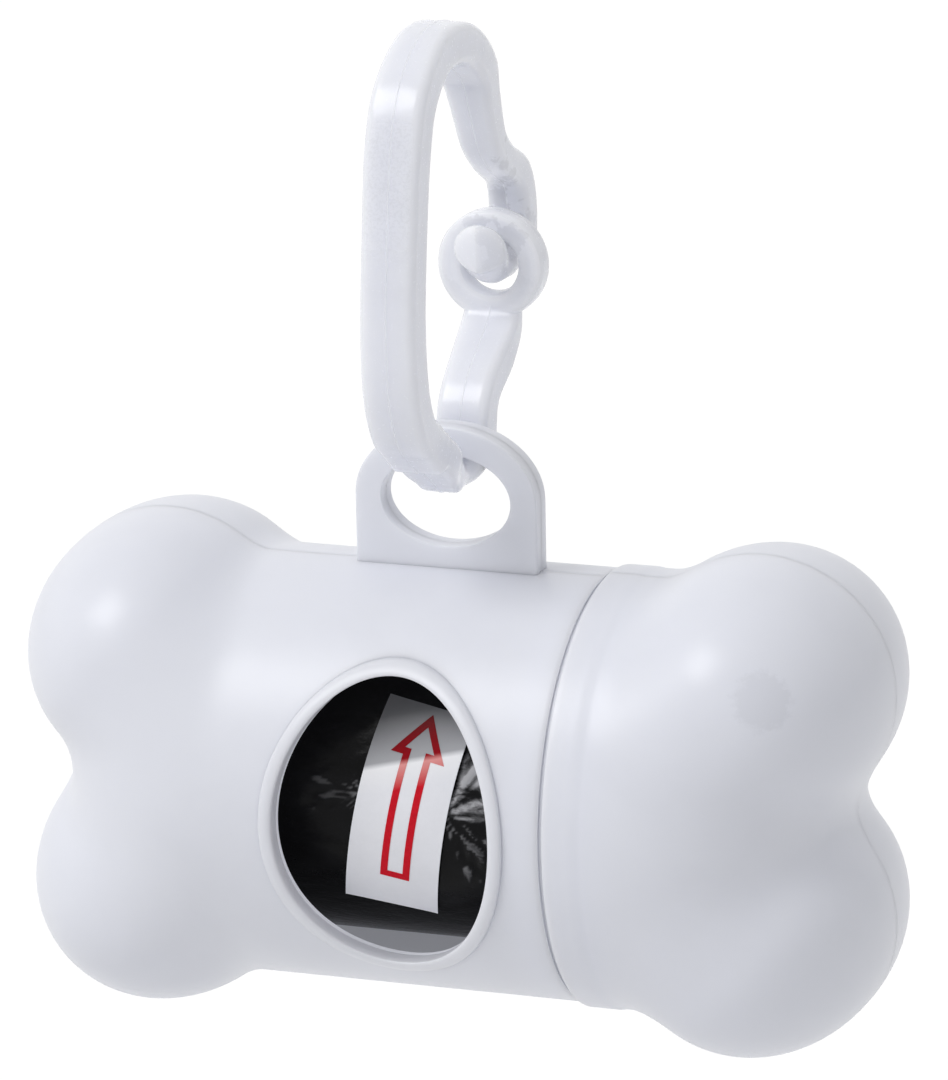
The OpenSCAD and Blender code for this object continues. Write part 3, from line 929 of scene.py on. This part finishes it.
def moulding_group():
    """Slow flow marks, waviness and fine grain of a moulded plastic skin."""
    inputs = (("Flow Scale", 60.0), ("Wave Scale", 160.0), ("Grain Scale", 2600.0),
              ("Wave Height", 1.0), ("Grain Height", 0.1), ("Speck Share", 0.3))
    group, source, result = new_group("Moulding", inputs, ("Flow", "Height", "Specks"))
    vector = object_place(group)
    flow = noise(group, vector, source.outputs["Flow Scale"], 4.0, 0.55, 0.4)
    wave = noise(group, vector, source.outputs["Wave Scale"], 2.0, 0.4)
    grain = noise(group, vector, source.outputs["Grain Scale"], 3.0, 0.6)
    height = maths(group, "MULTIPLY", wave, source.outputs["Wave Height"])
    height = maths(group, "ADD", height, maths(group, "MULTIPLY", grain, source.outputs["Grain Height"]))
    speck = noise(group, vector, 4200.0, 1.0, 0.4)
    edge = maths(group, "SUBTRACT", 0.78, maths(group, "MULTIPLY", source.outputs["Speck Share"], 0.2))
    specks = clamped(group, maths(group, "MULTIPLY", maths(group, "SUBTRACT", speck, edge), 14.0))
    group.links.new(flow, result.inputs["Flow"])
    group.links.new(height, result.inputs["Height"])
    group.links.new(specks, result.inputs["Specks"])
    return group


def rim_shadow_group():
    """Light left on the label where the window's rim shades it, and the sheen under that shadow."""
    inputs = (("Middle", 0.0), ("Edge Height", 0.0), ("Lean", 0.23), ("At Edge", 0.5), ("At Top", 0.13),
              ("Depth", 0.004), ("Sheen Depth", 0.0024))
    group, source, result = new_group("Rim Shadow", inputs, ("Light", "Sheen"))
    split = node(group, "ShaderNodeSeparateXYZ")
    group.links.new(object_place(group), split.inputs[0])
    side = maths(group, "SUBTRACT", split.outputs["X"], source.outputs["Middle"])
    above = maths(group, "SUBTRACT", split.outputs["Z"], source.outputs["Edge Height"])
    above = maths(group, "SUBTRACT", above, maths(group, "MULTIPLY", side, source.outputs["Lean"]))
    step = clamped(group, maths(group, "MULTIPLY_ADD", above, 2000.0, 0.5))
    deep = clamped(group, maths(group, "DIVIDE", above, source.outputs["Depth"]))
    fall = maths(group, "SUBTRACT", source.outputs["At Edge"], source.outputs["At Top"])
    shaded = maths(group, "SUBTRACT", source.outputs["At Edge"], maths(group, "MULTIPLY", deep, fall))
    lost = maths(group, "MULTIPLY", step, maths(group, "SUBTRACT", 1.0, shaded))
    group.links.new(maths(group, "SUBTRACT", 1.0, lost), result.inputs["Light"])
    fade = maths(group, "ADD", maths(group, "DIVIDE", above, source.outputs["Sheen Depth"]), 1.0)
    sheen = maths(group, "MULTIPLY", clamped(group, fade), maths(group, "SUBTRACT", 1.0, step))
    group.links.new(sheen, result.inputs["Sheen"])
    return group


def dimmed(tree, colour_output, light):
    """Colour scaled by a share of light."""
    scaled = node(tree, "ShaderNodeVectorMath", operation="SCALE")
    tree.links.new(colour_output, scaled.inputs[0])
    tree.links.new(light, scaled.inputs["Scale"])
    return scaled.outputs["Vector"]


def shaded_by_rim(tree, colour_output, roll, sheen, share):
    """Colour with the rim's shadow over its upper part and a pale sheen under the shadow's edge."""
    group = bpy.data.node_groups.get("Rim Shadow") or rim_shadow_group()
    shadow = group_node(tree, group, Middle=BONE.x + roll.label_x, Edge_Height=BONE.z + roll.shade_edge)
    pale = node(tree, "ShaderNodeMix", data_type="RGBA")
    tree.links.new(maths(tree, "MULTIPLY", shadow.outputs["Sheen"], share), pale.inputs["Factor"])
    tree.links.new(colour_output, pale.inputs["A"])
    pale.inputs["B"].default_value = (*sheen, 1)
    return dimmed(tree, pale.outputs["Result"], shadow.outputs["Light"])


def new_material(name):
    material = bpy.data.materials.new(name)
    material.use_nodes = True
    tree = material.node_tree
    return material, tree, tree.nodes["Principled BSDF"]


def ramp(tree, value, stops):
    made = node(tree, "ShaderNodeValToRGB")
    tree.links.new(value, made.inputs["Fac"])
    while len(made.color_ramp.elements) < len(stops):
        made.color_ramp.elements.new(0.5)
    for element, (at, rgb) in zip(made.color_ramp.elements, stops):
        element.position = at
        element.color = (*rgb, 1)
    return made.outputs["Color"]


def shade(rgb, factor):
    return tuple(min(1, c * factor) for c in rgb)


def bump(tree, height, strength, distance, shader):
    made = set_inputs(node(tree, "ShaderNodeBump"), Strength=strength, Distance=distance)
    tree.links.new(height, made.inputs["Height"])
    tree.links.new(made.outputs["Normal"], shader.inputs["Normal"])


def group_node(tree, group, **values):
    return set_inputs(node(tree, "ShaderNodeGroup", node_tree=group), **values)


def plastic(name, rgb, rough, translucent, depth, **values):
    """Satin translucent plastic with flow marks."""
    material, tree, shader = new_material(name)
    group = bpy.data.node_groups.get("Moulding") or moulding_group()
    skin = group_node(tree, group, **values)
    stops = ((0.25, shade(rgb, 0.965)), (0.5, rgb), (0.8, shade(rgb, 1.02)))
    tree.links.new(ramp(tree, skin.outputs["Flow"], stops), shader.inputs["Base Color"])
    gloss = maths(tree, "MULTIPLY_ADD", skin.outputs["Flow"], 0.12, rough - 0.06)
    gloss = maths(tree, "MULTIPLY_ADD", skin.outputs["Specks"], 0.2, gloss)
    tree.links.new(gloss, shader.inputs["Roughness"])
    bump(tree, skin.outputs["Height"], 0.22, 0.0004, shader)
    set_inputs(shader, IOR=1.46, Subsurface_Weight=translucent, Subsurface_Radius=(1.0, 1.0, 1.0),
               Subsurface_Scale=depth)
    return material


def film_finish(colours):
    material, tree, shader = new_material("black_film")
    vector = object_place(tree)
    stretch = node(tree, "ShaderNodeMapping")
    stretch.inputs["Scale"].default_value = (0.45, 1, 1)
    tree.links.new(vector, stretch.inputs["Vector"])
    patches = noise(tree, stretch.outputs["Vector"], 210.0, 5.0, 0.6, 1.2)
    fine = noise(tree, stretch.outputs["Vector"], 1500.0, 4.0, 0.6, 1.5)
    sheen = node(tree, "ShaderNodeAttribute", attribute_name="sheen").outputs["Fac"]
    mottle = maths(tree, "ADD", patches, maths(tree, "MULTIPLY", fine, 0.5))
    broken = maths(tree, "MULTIPLY_ADD", mottle, 4.5, -2.7)
    # glint: the painted highlight on the gathered folds, ramped towards the fold highlight colour
    glint = maths(tree, "MULTIPLY", sheen, maths(tree, "MULTIPLY_ADD", clamped(tree, broken), 0.95, 0.25))
    tone_and_glint = maths(tree, "ADD", maths(tree, "MULTIPLY", patches, 0.2), glint)
    stops = ((0.06, colours.film), (0.16, colours.film_scuff), (1.0, colours.film_fold_highlight))
    tree.links.new(ramp(tree, tone_and_glint, stops), shader.inputs["Base Color"])
    tree.links.new(maths(tree, "MULTIPLY_ADD", patches, 0.25, 0.08), shader.inputs["Roughness"])
    height = maths(tree, "ADD", patches, maths(tree, "MULTIPLY", fine, 0.22))
    bump(tree, height, 0.25, 0.0005, shader)
    set_inputs(shader, IOR=1.5, Specular_IOR_Level=0.08)
    return material


def paper_finish(colours, roll):
    material, tree, shader = new_material("label_paper")
    vector = object_place(tree)
    fibre = noise(tree, vector, 2400.0, 4.0, 0.65)
    cloud = noise(tree, vector, 260.0, 2.0, 0.5)
    both = maths(tree, "ADD", maths(tree, "MULTIPLY", fibre, 0.35), maths(tree, "MULTIPLY", cloud, 0.65))
    stops = ((0.3, shade(colours.paper, 0.94)), (0.7, tuple(colours.paper)))
    white = shaded_by_rim(tree, ramp(tree, both, stops), roll, (1, 1, 1), 0.5)
    tree.links.new(white, shader.inputs["Base Color"])
    tree.links.new(maths(tree, "MULTIPLY_ADD", fibre, 0.1, 0.26), shader.inputs["Roughness"])
    bump(tree, both, 0.06, 0.0001, shader)
    set_inputs(shader, IOR=1.3, Specular_IOR_Level=0.25)
    return material


def ink_finish(colours, roll):
    material, tree, shader = new_material("red_ink")
    vector = object_place(tree)
    lay = noise(tree, vector, 3200.0, 3.0, 0.6)
    stops = ((0.35, shade(colours.ink, 0.86)), (0.7, tuple(colours.ink)))
    red = shaded_by_rim(tree, ramp(tree, lay, stops), roll, (1, 0.72, 0.68), 0.5)
    tree.links.new(red, shader.inputs["Base Color"])
    tree.links.new(maths(tree, "MULTIPLY_ADD", lay, 0.1, 0.26), shader.inputs["Roughness"])
    bump(tree, lay, 0.05, 0.0001, shader)
    set_inputs(shader, IOR=1.3, Specular_IOR_Level=0.1)
    return material


def board_finish(colours):
    material, tree, shader = new_material("cardboard")
    vector = object_place(tree)
    fibre = noise(tree, vector, 1800.0, 5.0, 0.7, 0.6)
    wind = node(tree, "ShaderNodeTexWave", wave_type="BANDS", bands_direction="DIAGONAL")
    wind.inputs["Scale"].default_value = 22.0
    tree.links.new(vector, wind.inputs["Vector"])
    wound = maths(tree, "MULTIPLY", wind.outputs["Fac"], 0.2)
    both = maths(tree, "ADD", maths(tree, "MULTIPLY", fibre, 0.8), wound)
    stops = ((0.3, shade(colours.board, 0.7)), (0.7, tuple(colours.board)))
    tree.links.new(ramp(tree, both, stops), shader.inputs["Base Color"])
    tree.links.new(maths(tree, "MULTIPLY_ADD", fibre, 0.2, 0.7), shader.inputs["Roughness"])
    bump(tree, both, 0.4, 0.0002, shader)
    return material


def dark_patch_group():
    """Round patch with a ragged edge, darker in colour, about a given point."""
    inputs = (("X", 0.0), ("Y", 0.0), ("Z", 0.0), ("Radius", 0.0029), ("Ragged", 0.0008))
    group, source, result = new_group("Dark Patch", inputs, ("Mask",))
    vector = object_place(group)
    middle = node(group, "ShaderNodeCombineXYZ")
    for axis in "XYZ":
        group.links.new(source.outputs[axis], middle.inputs[axis])
    distance = node(group, "ShaderNodeVectorMath", operation="DISTANCE")
    group.links.new(vector, distance.inputs[0])
    group.links.new(middle.outputs[0], distance.inputs[1])
    rough = maths(group, "SUBTRACT", noise(group, vector, 1400.0, 5.0, 0.7), 0.5)
    ragged = maths(group, "MULTIPLY", source.outputs["Ragged"], 4.0)
    edge = maths(group, "ADD", source.outputs["Radius"], maths(group, "MULTIPLY", rough, ragged))
    inside = maths(group, "MULTIPLY", maths(group, "SUBTRACT", edge, distance.outputs["Value"]), 1400.0)
    group.links.new(clamped(group, inside), result.inputs["Mask"])
    return group


SHELL_SKIN = {
    "Flow_Scale": 55.0, "Wave_Scale": 120.0, "Wave_Height": 1.0, "Grain_Height": 0.05, "Speck_Share": 0.1
}
DARK_PATCH_AT = Vector((33.3, -15.8, 14.3)) * MM  # from the bone's middle
DARK_PATCH_DEPTH = 0.06


def paint_glow_through(shader, rgb, strength):
    """Paints a glow into the surface as emission, standing in for the light that comes through the plastic
    from behind.
    """
    set_inputs(shader, Emission_Color=(*rgb, 1), Emission_Strength=strength)


def shell_finish(context):
    found = bpy.data.materials.get("moulded_shell")
    if found:
        return found
    rgb = tuple(context.scene.dispenser_finishes.shell)
    made = plastic("moulded_shell", rgb, rough=0.33, translucent=0.45, depth=0.0018, **SHELL_SKIN)
    tree = made.node_tree
    shader = tree.nodes["Principled BSDF"]
    at = BONE + DARK_PATCH_AT
    # darkens the colour in a ragged round patch on the front of a lobe at the cap's end
    mark = group_node(tree, dark_patch_group(), X=at.x, Y=at.y, Z=at.z)
    light = maths(tree, "MULTIPLY_ADD", mark.outputs["Mask"], -DARK_PATCH_DEPTH, 1.0)
    base = shader.inputs["Base Color"]
    tree.links.new(dimmed(tree, base.links[0].from_socket, light), base)
    return made


def lining_finish(context):
    """The shell's inner side, with a painted glow standing in for the light that comes through the wall."""
    found = bpy.data.materials.get("moulded_lining")
    if found:
        return found
    rgb = tuple(context.scene.dispenser_finishes.shell)
    made = plastic("moulded_lining", rgb, rough=0.4, translucent=0.0, depth=0.001, **SHELL_SKIN)
    paint_glow_through(made.node_tree.nodes["Principled BSDF"], rgb, context.scene.dispenser_finishes.through)
    return made


def line_inside(shell, context):
    """Gives the faces inside a finished shell the lining's material."""
    s = context.scene.dispenser_shell
    middle = np.empty(len(shell.data.polygons) * 3)
    shell.data.polygons.foreach_get("center", middle)
    p = middle.reshape(-1, 3) - np.array(BONE)
    p[:, 0] = np.abs(p[:, 0])
    deep = bone_distance(p, s.barrel_d / 2, s) < -0.6 * s.wall
    shell.data.materials.append(lining_finish(context))
    shell.data.polygons.foreach_set("material_index", deep.astype(np.int32))


def frost_and_reflection_group():
    """Fine frosting on the hook's outer face, and painted patches of dark reflection inside its upper part.
    """
    inputs = (("Face Depth", 0.0), ("Face Middle", 0.0), ("Face Reach", 0.009),
              ("Patch Depth", 0.0), ("Patch Height", 0.0), ("Speck", 0.06), ("Patch", 0.13))
    group, source, result = new_group("Frost and Painted Reflections", inputs, ("Light", "Rough"))
    vector = object_place(group)
    split = node(group, "ShaderNodeSeparateXYZ")
    group.links.new(vector, split.inputs[0])

    def over(value, start, pace):
        return clamped(group, maths(group, "MULTIPLY", maths(group, "SUBTRACT", value, start), pace))

    facing = node(group, "ShaderNodeSeparateXYZ")
    group.links.new(node(group, "ShaderNodeTexCoord").outputs["Normal"], facing.inputs[0])
    outer = over(maths(group, "MULTIPLY", facing.outputs["Y"], -1.0), 0.9, 25.0)
    outer = maths(group, "MULTIPLY", outer, over(source.outputs["Face Depth"], split.outputs["Y"], 400.0))
    away = maths(group, "SUBTRACT", split.outputs["Z"], source.outputs["Face Middle"])
    near = over(source.outputs["Face Reach"], maths(group, "ABSOLUTE", away), 250.0)
    face = maths(group, "MULTIPLY", outer, near)
    grains = maths(group, "MULTIPLY_ADD", noise(group, vector, 3600.0, 3.0, 0.75), 7.0, -3.2)
    frost = maths(group, "MULTIPLY", face, clamped(group, grains))
    # painted patches of dark reflection on the inner faces of the hook's upper arm
    islands = clamped(group, maths(group, "MULTIPLY_ADD", noise(group, vector, 210.0, 5.0, 0.6), 45.0, -24.5))
    inside = over(split.outputs["Y"], source.outputs["Patch Depth"], 120.0)
    inside = maths(group, "MULTIPLY", inside, over(split.outputs["Z"], source.outputs["Patch Height"], 120.0))
    dark = maths(group, "MULTIPLY", frost, source.outputs["Speck"])
    painted_reflection = maths(group, "MULTIPLY", maths(group, "MULTIPLY", islands, inside), source.outputs["Patch"])
    dark = maths(group, "ADD", dark, painted_reflection)
    group.links.new(maths(group, "SUBTRACT", 1.0, dark), result.inputs["Light"])
    group.links.new(maths(group, "MULTIPLY", face, 0.12), result.inputs["Rough"])
    return group


def hook_finish(context):
    found = bpy.data.materials.get("moulded_hook")
    if found:
        return found
    rgb = tuple(context.scene.dispenser_finishes.hook)
    made = plastic("moulded_hook", rgb, rough=0.2, translucent=1.0, depth=0.003,
                   Flow_Scale=150.0, Wave_Scale=380.0, Wave_Height=1.0, Grain_Height=0.1, Speck_Share=0.5)
    tree = made.node_tree
    shader = tree.nodes["Principled BSDF"]
    # besides the frosting, this group paints patches of dark reflection inside the hook's upper arm
    frost = group_node(tree, frost_and_reflection_group(), Face_Depth=BAR.y - 9 * MM, Face_Middle=BAR.z + 31 * MM,
                       Patch_Depth=BAR.y + 2 * MM, Patch_Height=BAR.z + 13 * MM)
    base = shader.inputs["Base Color"]
    tree.links.new(dimmed(tree, base.links[0].from_socket, frost.outputs["Light"]), base)
    gloss = maths(tree, "ADD", shader.inputs["Roughness"].links[0].from_socket, frost.outputs["Rough"])
    tree.links.new(gloss, shader.inputs["Roughness"])
    paint_glow_through(shader, rgb, context.scene.dispenser_finishes.glow)
    return made


# ---------------------------------------------------------------- operators


class DISPENSER_OT_body(bpy.types.Operator):
    """Build the two moulded halves of the dispenser's body"""

    bl_idname = "dispenser.body"
    bl_label = "Body shells"

    def execute(self, context):
        s = context.scene.dispenser_shell
        barrel_r = s.barrel_d / 2
        mouth = s.seam_x - s.seam_gap / 2
        neck_r = barrel_r + s.collar_step - s.wall - s.neck_clear
        neck_end = mouth + s.neck_len
        root_r = barrel_r - s.wall + 0.2 * MM
        sill_r, sill_end = barrel_r - s.sill_depth, mouth + s.seam_gap * 0.8
        neck_line = [(mouth - 2.6 * MM, root_r), (mouth - 0.3 * MM, root_r), (mouth - 0.25 * MM, sill_r),
                     (sill_end, sill_r), (sill_end + 0.01 * MM, neck_r), (mouth + 2 * MM, neck_r),
                     (neck_end - 0.3 * MM, neck_r), (neck_end, neck_r - 0.3 * MM)]
        for side, label in ((FRONT, "body_front"), (REAR, "body_rear")):
            skin = half_skin(label, side, CLOSED_END, -mouth, barrel_r, s)
            pieces = [skin]
            if side == FRONT:
                width = s.window_w + s.rim_w * 0.9
                height = s.window_h + s.rim_w * 0.9
                cut(skin, oval_cutter(width, height, s.window_x, -s.barrel_d, -2 * s.wall))
                pieces.append(window_rim(s))
            round_parting(skin, s)
            pieces.append(lug_half(label + "_lug", side, s))
            pieces.append(half_tube(label + "_neck", side, neck_line, s.neck_wall))
            body = join(pieces, label)
            smooth(body)
            finish_piece(body, shell_finish(context), "dispenser", "shell", label + "_shell")
            line_inside(body, context)
        ridge = thread(s)
        smooth(ridge)
        finish_piece(ridge, shell_finish(context), "dispenser", "shell")
        return {"FINISHED"}


class DISPENSER_OT_cap(bpy.types.Operator):
    """Build the two moulded halves of the screw cap"""

    bl_idname = "dispenser.cap"
    bl_label = "Screw cap"

    def execute(self, context):
        s = context.scene.dispenser_shell
        mouth = s.seam_x + s.seam_gap / 2
        for side, label in ((FRONT, "cap_front"), (REAR, "cap_rear")):
            skin = half_skin(label, side, CAP_END, mouth, s.barrel_d / 2 + s.collar_step, s)
            round_parting(skin, s)
            smooth(skin)
            finish_piece(skin, shell_finish(context), "cap", "shell", label + "_shell")
            line_inside(skin, context)
        return {"FINISHED"}


class DISPENSER_OT_hook(bpy.types.Operator):
    """Build the snap hook's frame with its peg"""

    bl_idname = "dispenser.hook"
    bl_label = "Hook frame"

    def execute(self, context):
        h = context.scene.dispenser_hook
        track, ahead, split = hook_tracks()
        bar = sweep("hook_bar", track[split:], ahead[split:], h)
        cut(bar, peg(h), "UNION")
        smooth(bar)
        finish_piece(bar, hook_finish(context), "hook", "hook", "hook_frame")
        return {"FINISHED"}


class DISPENSER_OT_gate(bpy.types.Operator):
    """Build the hook's gate"""

    bl_idname = "dispenser.gate"
    bl_label = "Hook gate"

    def execute(self, context):
        h = context.scene.dispenser_hook
        track, ahead, split = hook_tracks()
        arm = sweep("gate_arm", track[: split + 1], ahead[: split + 1], h)
        cut(arm, eye(h), "UNION")
        smooth(arm)
        finish_piece(arm, hook_finish(context), None, "hook", "hook_gate")
        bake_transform(arm)
        return {"FINISHED"}


class DISPENSER_OT_roll(bpy.types.Operator):
    """Build the roll of bags and finish its cardboard core"""

    bl_idname = "dispenser.roll"
    bl_label = "Roll of bags"

    def execute(self, context):
        roll, colours = context.scene.dispenser_roll, context.scene.dispenser_finishes
        film = film_roll(roll)
        smooth(film, 60)
        finish_piece(film, film_finish(colours), "roll", "film", "bag_roll")
        core = frame["nodes"]["roll_core"]
        core.data.materials.clear()
        core.data.materials.append(board_finish(colours))
        return {"FINISHED"}


class DISPENSER_OT_label(bpy.types.Operator):
    """Build the paper label and the arrow printed on it"""

    bl_idname = "dispenser.label"
    bl_label = "Paper label"

    def execute(self, context):
        roll, colours = context.scene.dispenser_roll, context.scene.dispenser_finishes
        sheet = label_sheet(roll)
        smooth(sheet)
        finish_piece(sheet, paper_finish(colours, roll), "roll", "label", "roll_label")
        print_piece = arrow(roll)
        smooth(print_piece)
        finish_piece(print_piece, ink_finish(colours, roll), "roll", "label")
        return {"FINISHED"}


def towards(azimuth, elevation):
    """Direction from the bone, with azimuth 0 in front of the window."""
    level = math.cos(elevation)
    return Vector((math.sin(azimuth) * level, -math.cos(azimuth) * level, math.sin(elevation)))


def softbox(name, azimuth, elevation, distance, width, height, power):
    """Area lamp that faces the bone, with its angles in degrees."""
    lamp = bpy.data.lights.new(name, "AREA")
    lamp.shape, lamp.size, lamp.size_y, lamp.energy = "RECTANGLE", width, height, power
    obj = bpy.data.objects.new(name, lamp)
    bpy.context.collection.objects.link(obj)
    away = towards(math.radians(azimuth), math.radians(elevation))
    obj.location = BONE + away * distance
    obj.rotation_euler = away.to_track_quat("Z", "Y").to_euler()


SKY_DARK_SIDE = (math.radians(62), math.radians(-8))  # azimuth and elevation
FLOOR_COLOUR = (0.8, 0.8, 0.8, 1)
FLOOR_GLOW, FLOOR_GLOW_SHARE = 1.13, 0.8


class DISPENSER_OT_stage(bpy.types.Operator):
    """Set up the floor, the world's light, the key lamp and the camera"""

    bl_idname = "dispenser.stage"
    bl_label = "Studio"

    def execute(self, context):
        stage = context.scene.dispenser_stage
        self.floor(stage)
        self.world(context, stage)
        softbox("key_light", azimuth=-42, elevation=50, distance=0.9, width=0.42, height=0.42,
                power=stage.key)
        self.camera(context, stage)
        context.scene.view_settings.view_transform = "Standard"
        return {"FINISHED"}

    def floor(self, stage):
        clear_selection()
        bpy.ops.mesh.primitive_grid_add(x_subdivisions=8, y_subdivisions=8, size=6)
        floor = added("floor")
        floor.location = (BONE.x, BONE.y, CAD_BOX[0][2] - stage.floor_drop)
        bpy.ops.object.transform_apply(location=True)
        material = bpy.data.materials.new("pale_floor")
        material.use_nodes = True
        tree = material.node_tree
        tree.nodes.clear()
        diffuse = node(tree, "ShaderNodeBsdfDiffuse")
        diffuse.inputs["Color"].default_value = FLOOR_COLOUR
        glow = node(tree, "ShaderNodeEmission")
        glow.inputs["Strength"].default_value = FLOOR_GLOW
        mix = node(tree, "ShaderNodeMixShader")
        share = maths(tree, "MULTIPLY", seen_directly(tree), FLOOR_GLOW_SHARE)
        tree.links.new(share, mix.inputs["Fac"])
        tree.links.new(diffuse.outputs["BSDF"], mix.inputs[1])
        tree.links.new(glow.outputs["Emission"], mix.inputs[2])
        out = node(tree, "ShaderNodeOutputMaterial")
        tree.links.new(mix.outputs["Shader"], out.inputs["Surface"])
        floor.data.materials.append(material)

    def world(self, context, stage):
        world = bpy.data.worlds.new("studio")
        context.scene.world = world
        world.use_nodes = True
        tree = world.node_tree
        tree.nodes.clear()
        light = node(tree, "ShaderNodeBackground")
        light.inputs["Color"].default_value = (1, 1, 1, 1)
        facing = node(tree, "ShaderNodeVectorMath", operation="DOT_PRODUCT")
        facing.inputs[1].default_value = towards(*SKY_DARK_SIDE)
        tree.links.new(node(tree, "ShaderNodeTexCoord").outputs["Generated"], facing.inputs[0])
        dark = maths(tree, "POWER", clamped(tree, facing.outputs["Value"]), 2.0)
        dim = maths(tree, "MULTIPLY", dark, stage.dim)
        strength = maths(tree, "MULTIPLY", maths(tree, "SUBTRACT", 1.0, dim), stage.sky)
        tree.links.new(strength, light.inputs["Strength"])
        backdrop = node(tree, "ShaderNodeBackground")
        backdrop.inputs["Strength"].default_value = 1.0
        backdrop.inputs["Color"].default_value = (1, 1, 1, 1)
        mix = node(tree, "ShaderNodeMixShader")
        tree.links.new(seen_directly(tree), mix.inputs["Fac"])
        tree.links.new(light.outputs["Background"], mix.inputs[1])
        tree.links.new(backdrop.outputs["Background"], mix.inputs[2])
        out = node(tree, "ShaderNodeOutputWorld")
        tree.links.new(mix.outputs["Shader"], out.inputs["Surface"])

    def camera(self, context, stage):
        back = towards(stage.azimuth, stage.elevation)
        level = Vector((math.cos(stage.azimuth), math.sin(stage.azimuth), 0))
        up = back.cross(level)
        right = level * math.cos(stage.roll) + up * math.sin(stage.roll)
        up = up * math.cos(stage.roll) - level * math.sin(stage.roll)
        place_at = BONE + back * stage.distance
        look = (-back + up * math.tan(stage.aim_up) + right * math.tan(stage.aim_right)).normalized()
        right = look.cross(up).normalized()
        up = right.cross(look)
        data = bpy.data.cameras.new("camera")
        data.lens, data.sensor_width, data.sensor_fit = stage.lens, 36, "AUTO"
        data.clip_start, data.clip_end = 0.05, 20
        camera = bpy.data.objects.new("camera", data)
        context.collection.objects.link(camera)
        turn = Matrix((right, up, -look)).transposed()
        camera.matrix_world = Matrix.Translation(place_at) @ turn.to_4x4()
        context.scene.camera = camera


def seen_directly(tree):
    """1 for what the camera sees itself, in a gloss or through something clear."""
    path = node(tree, "ShaderNodeLightPath")
    either = maths(tree, "MAXIMUM", path.outputs["Is Camera Ray"], path.outputs["Is Glossy Ray"])
    return maths(tree, "MAXIMUM", either, path.outputs["Is Transmission Ray"])


class DISPENSER_PT_panel(bpy.types.Panel):
    """Lists the builders and the sizes"""

    bl_label = "Dispenser"
    bl_idname = "DISPENSER_PT_panel"
    bl_space_type = "VIEW_3D"
    bl_region_type = "UI"
    bl_category = "Dispenser"

    def draw(self, context):
        for operator in OPERATORS:
            self.layout.operator(operator.bl_idname)
        for name in GROUPS:
            group = getattr(context.scene, name)
            box = self.layout.box()
            for key in group.__annotations__:
                box.prop(group, key)


OPERATORS = (DISPENSER_OT_body, DISPENSER_OT_cap, DISPENSER_OT_hook, DISPENSER_OT_gate,
             DISPENSER_OT_roll, DISPENSER_OT_label, DISPENSER_OT_stage)
GROUPS = {
    "dispenser_shell": ShellSizes,
    "dispenser_hook": HookSizes,
    "dispenser_roll": RollSizes,
    "dispenser_finishes": Finishes,
    "dispenser_stage": StageSettings,
}


def register():
    for cls in (*GROUPS.values(), *OPERATORS, DISPENSER_PT_panel):
        bpy.utils.register_class(cls)
    for name, cls in GROUPS.items():
        setattr(bpy.types.Scene, name, PointerProperty(type=cls))


def unregister():
    for name in GROUPS:
        delattr(bpy.types.Scene, name)
    for cls in (DISPENSER_PT_panel, *reversed(OPERATORS), *reversed(GROUPS.values())):
        bpy.utils.unregister_class(cls)


def main():
    register()
    for operator in OPERATORS:
        area, name = operator.bl_idname.split(".")
        getattr(getattr(bpy.ops, area), name)()


if __name__ == "__main__":
    main()
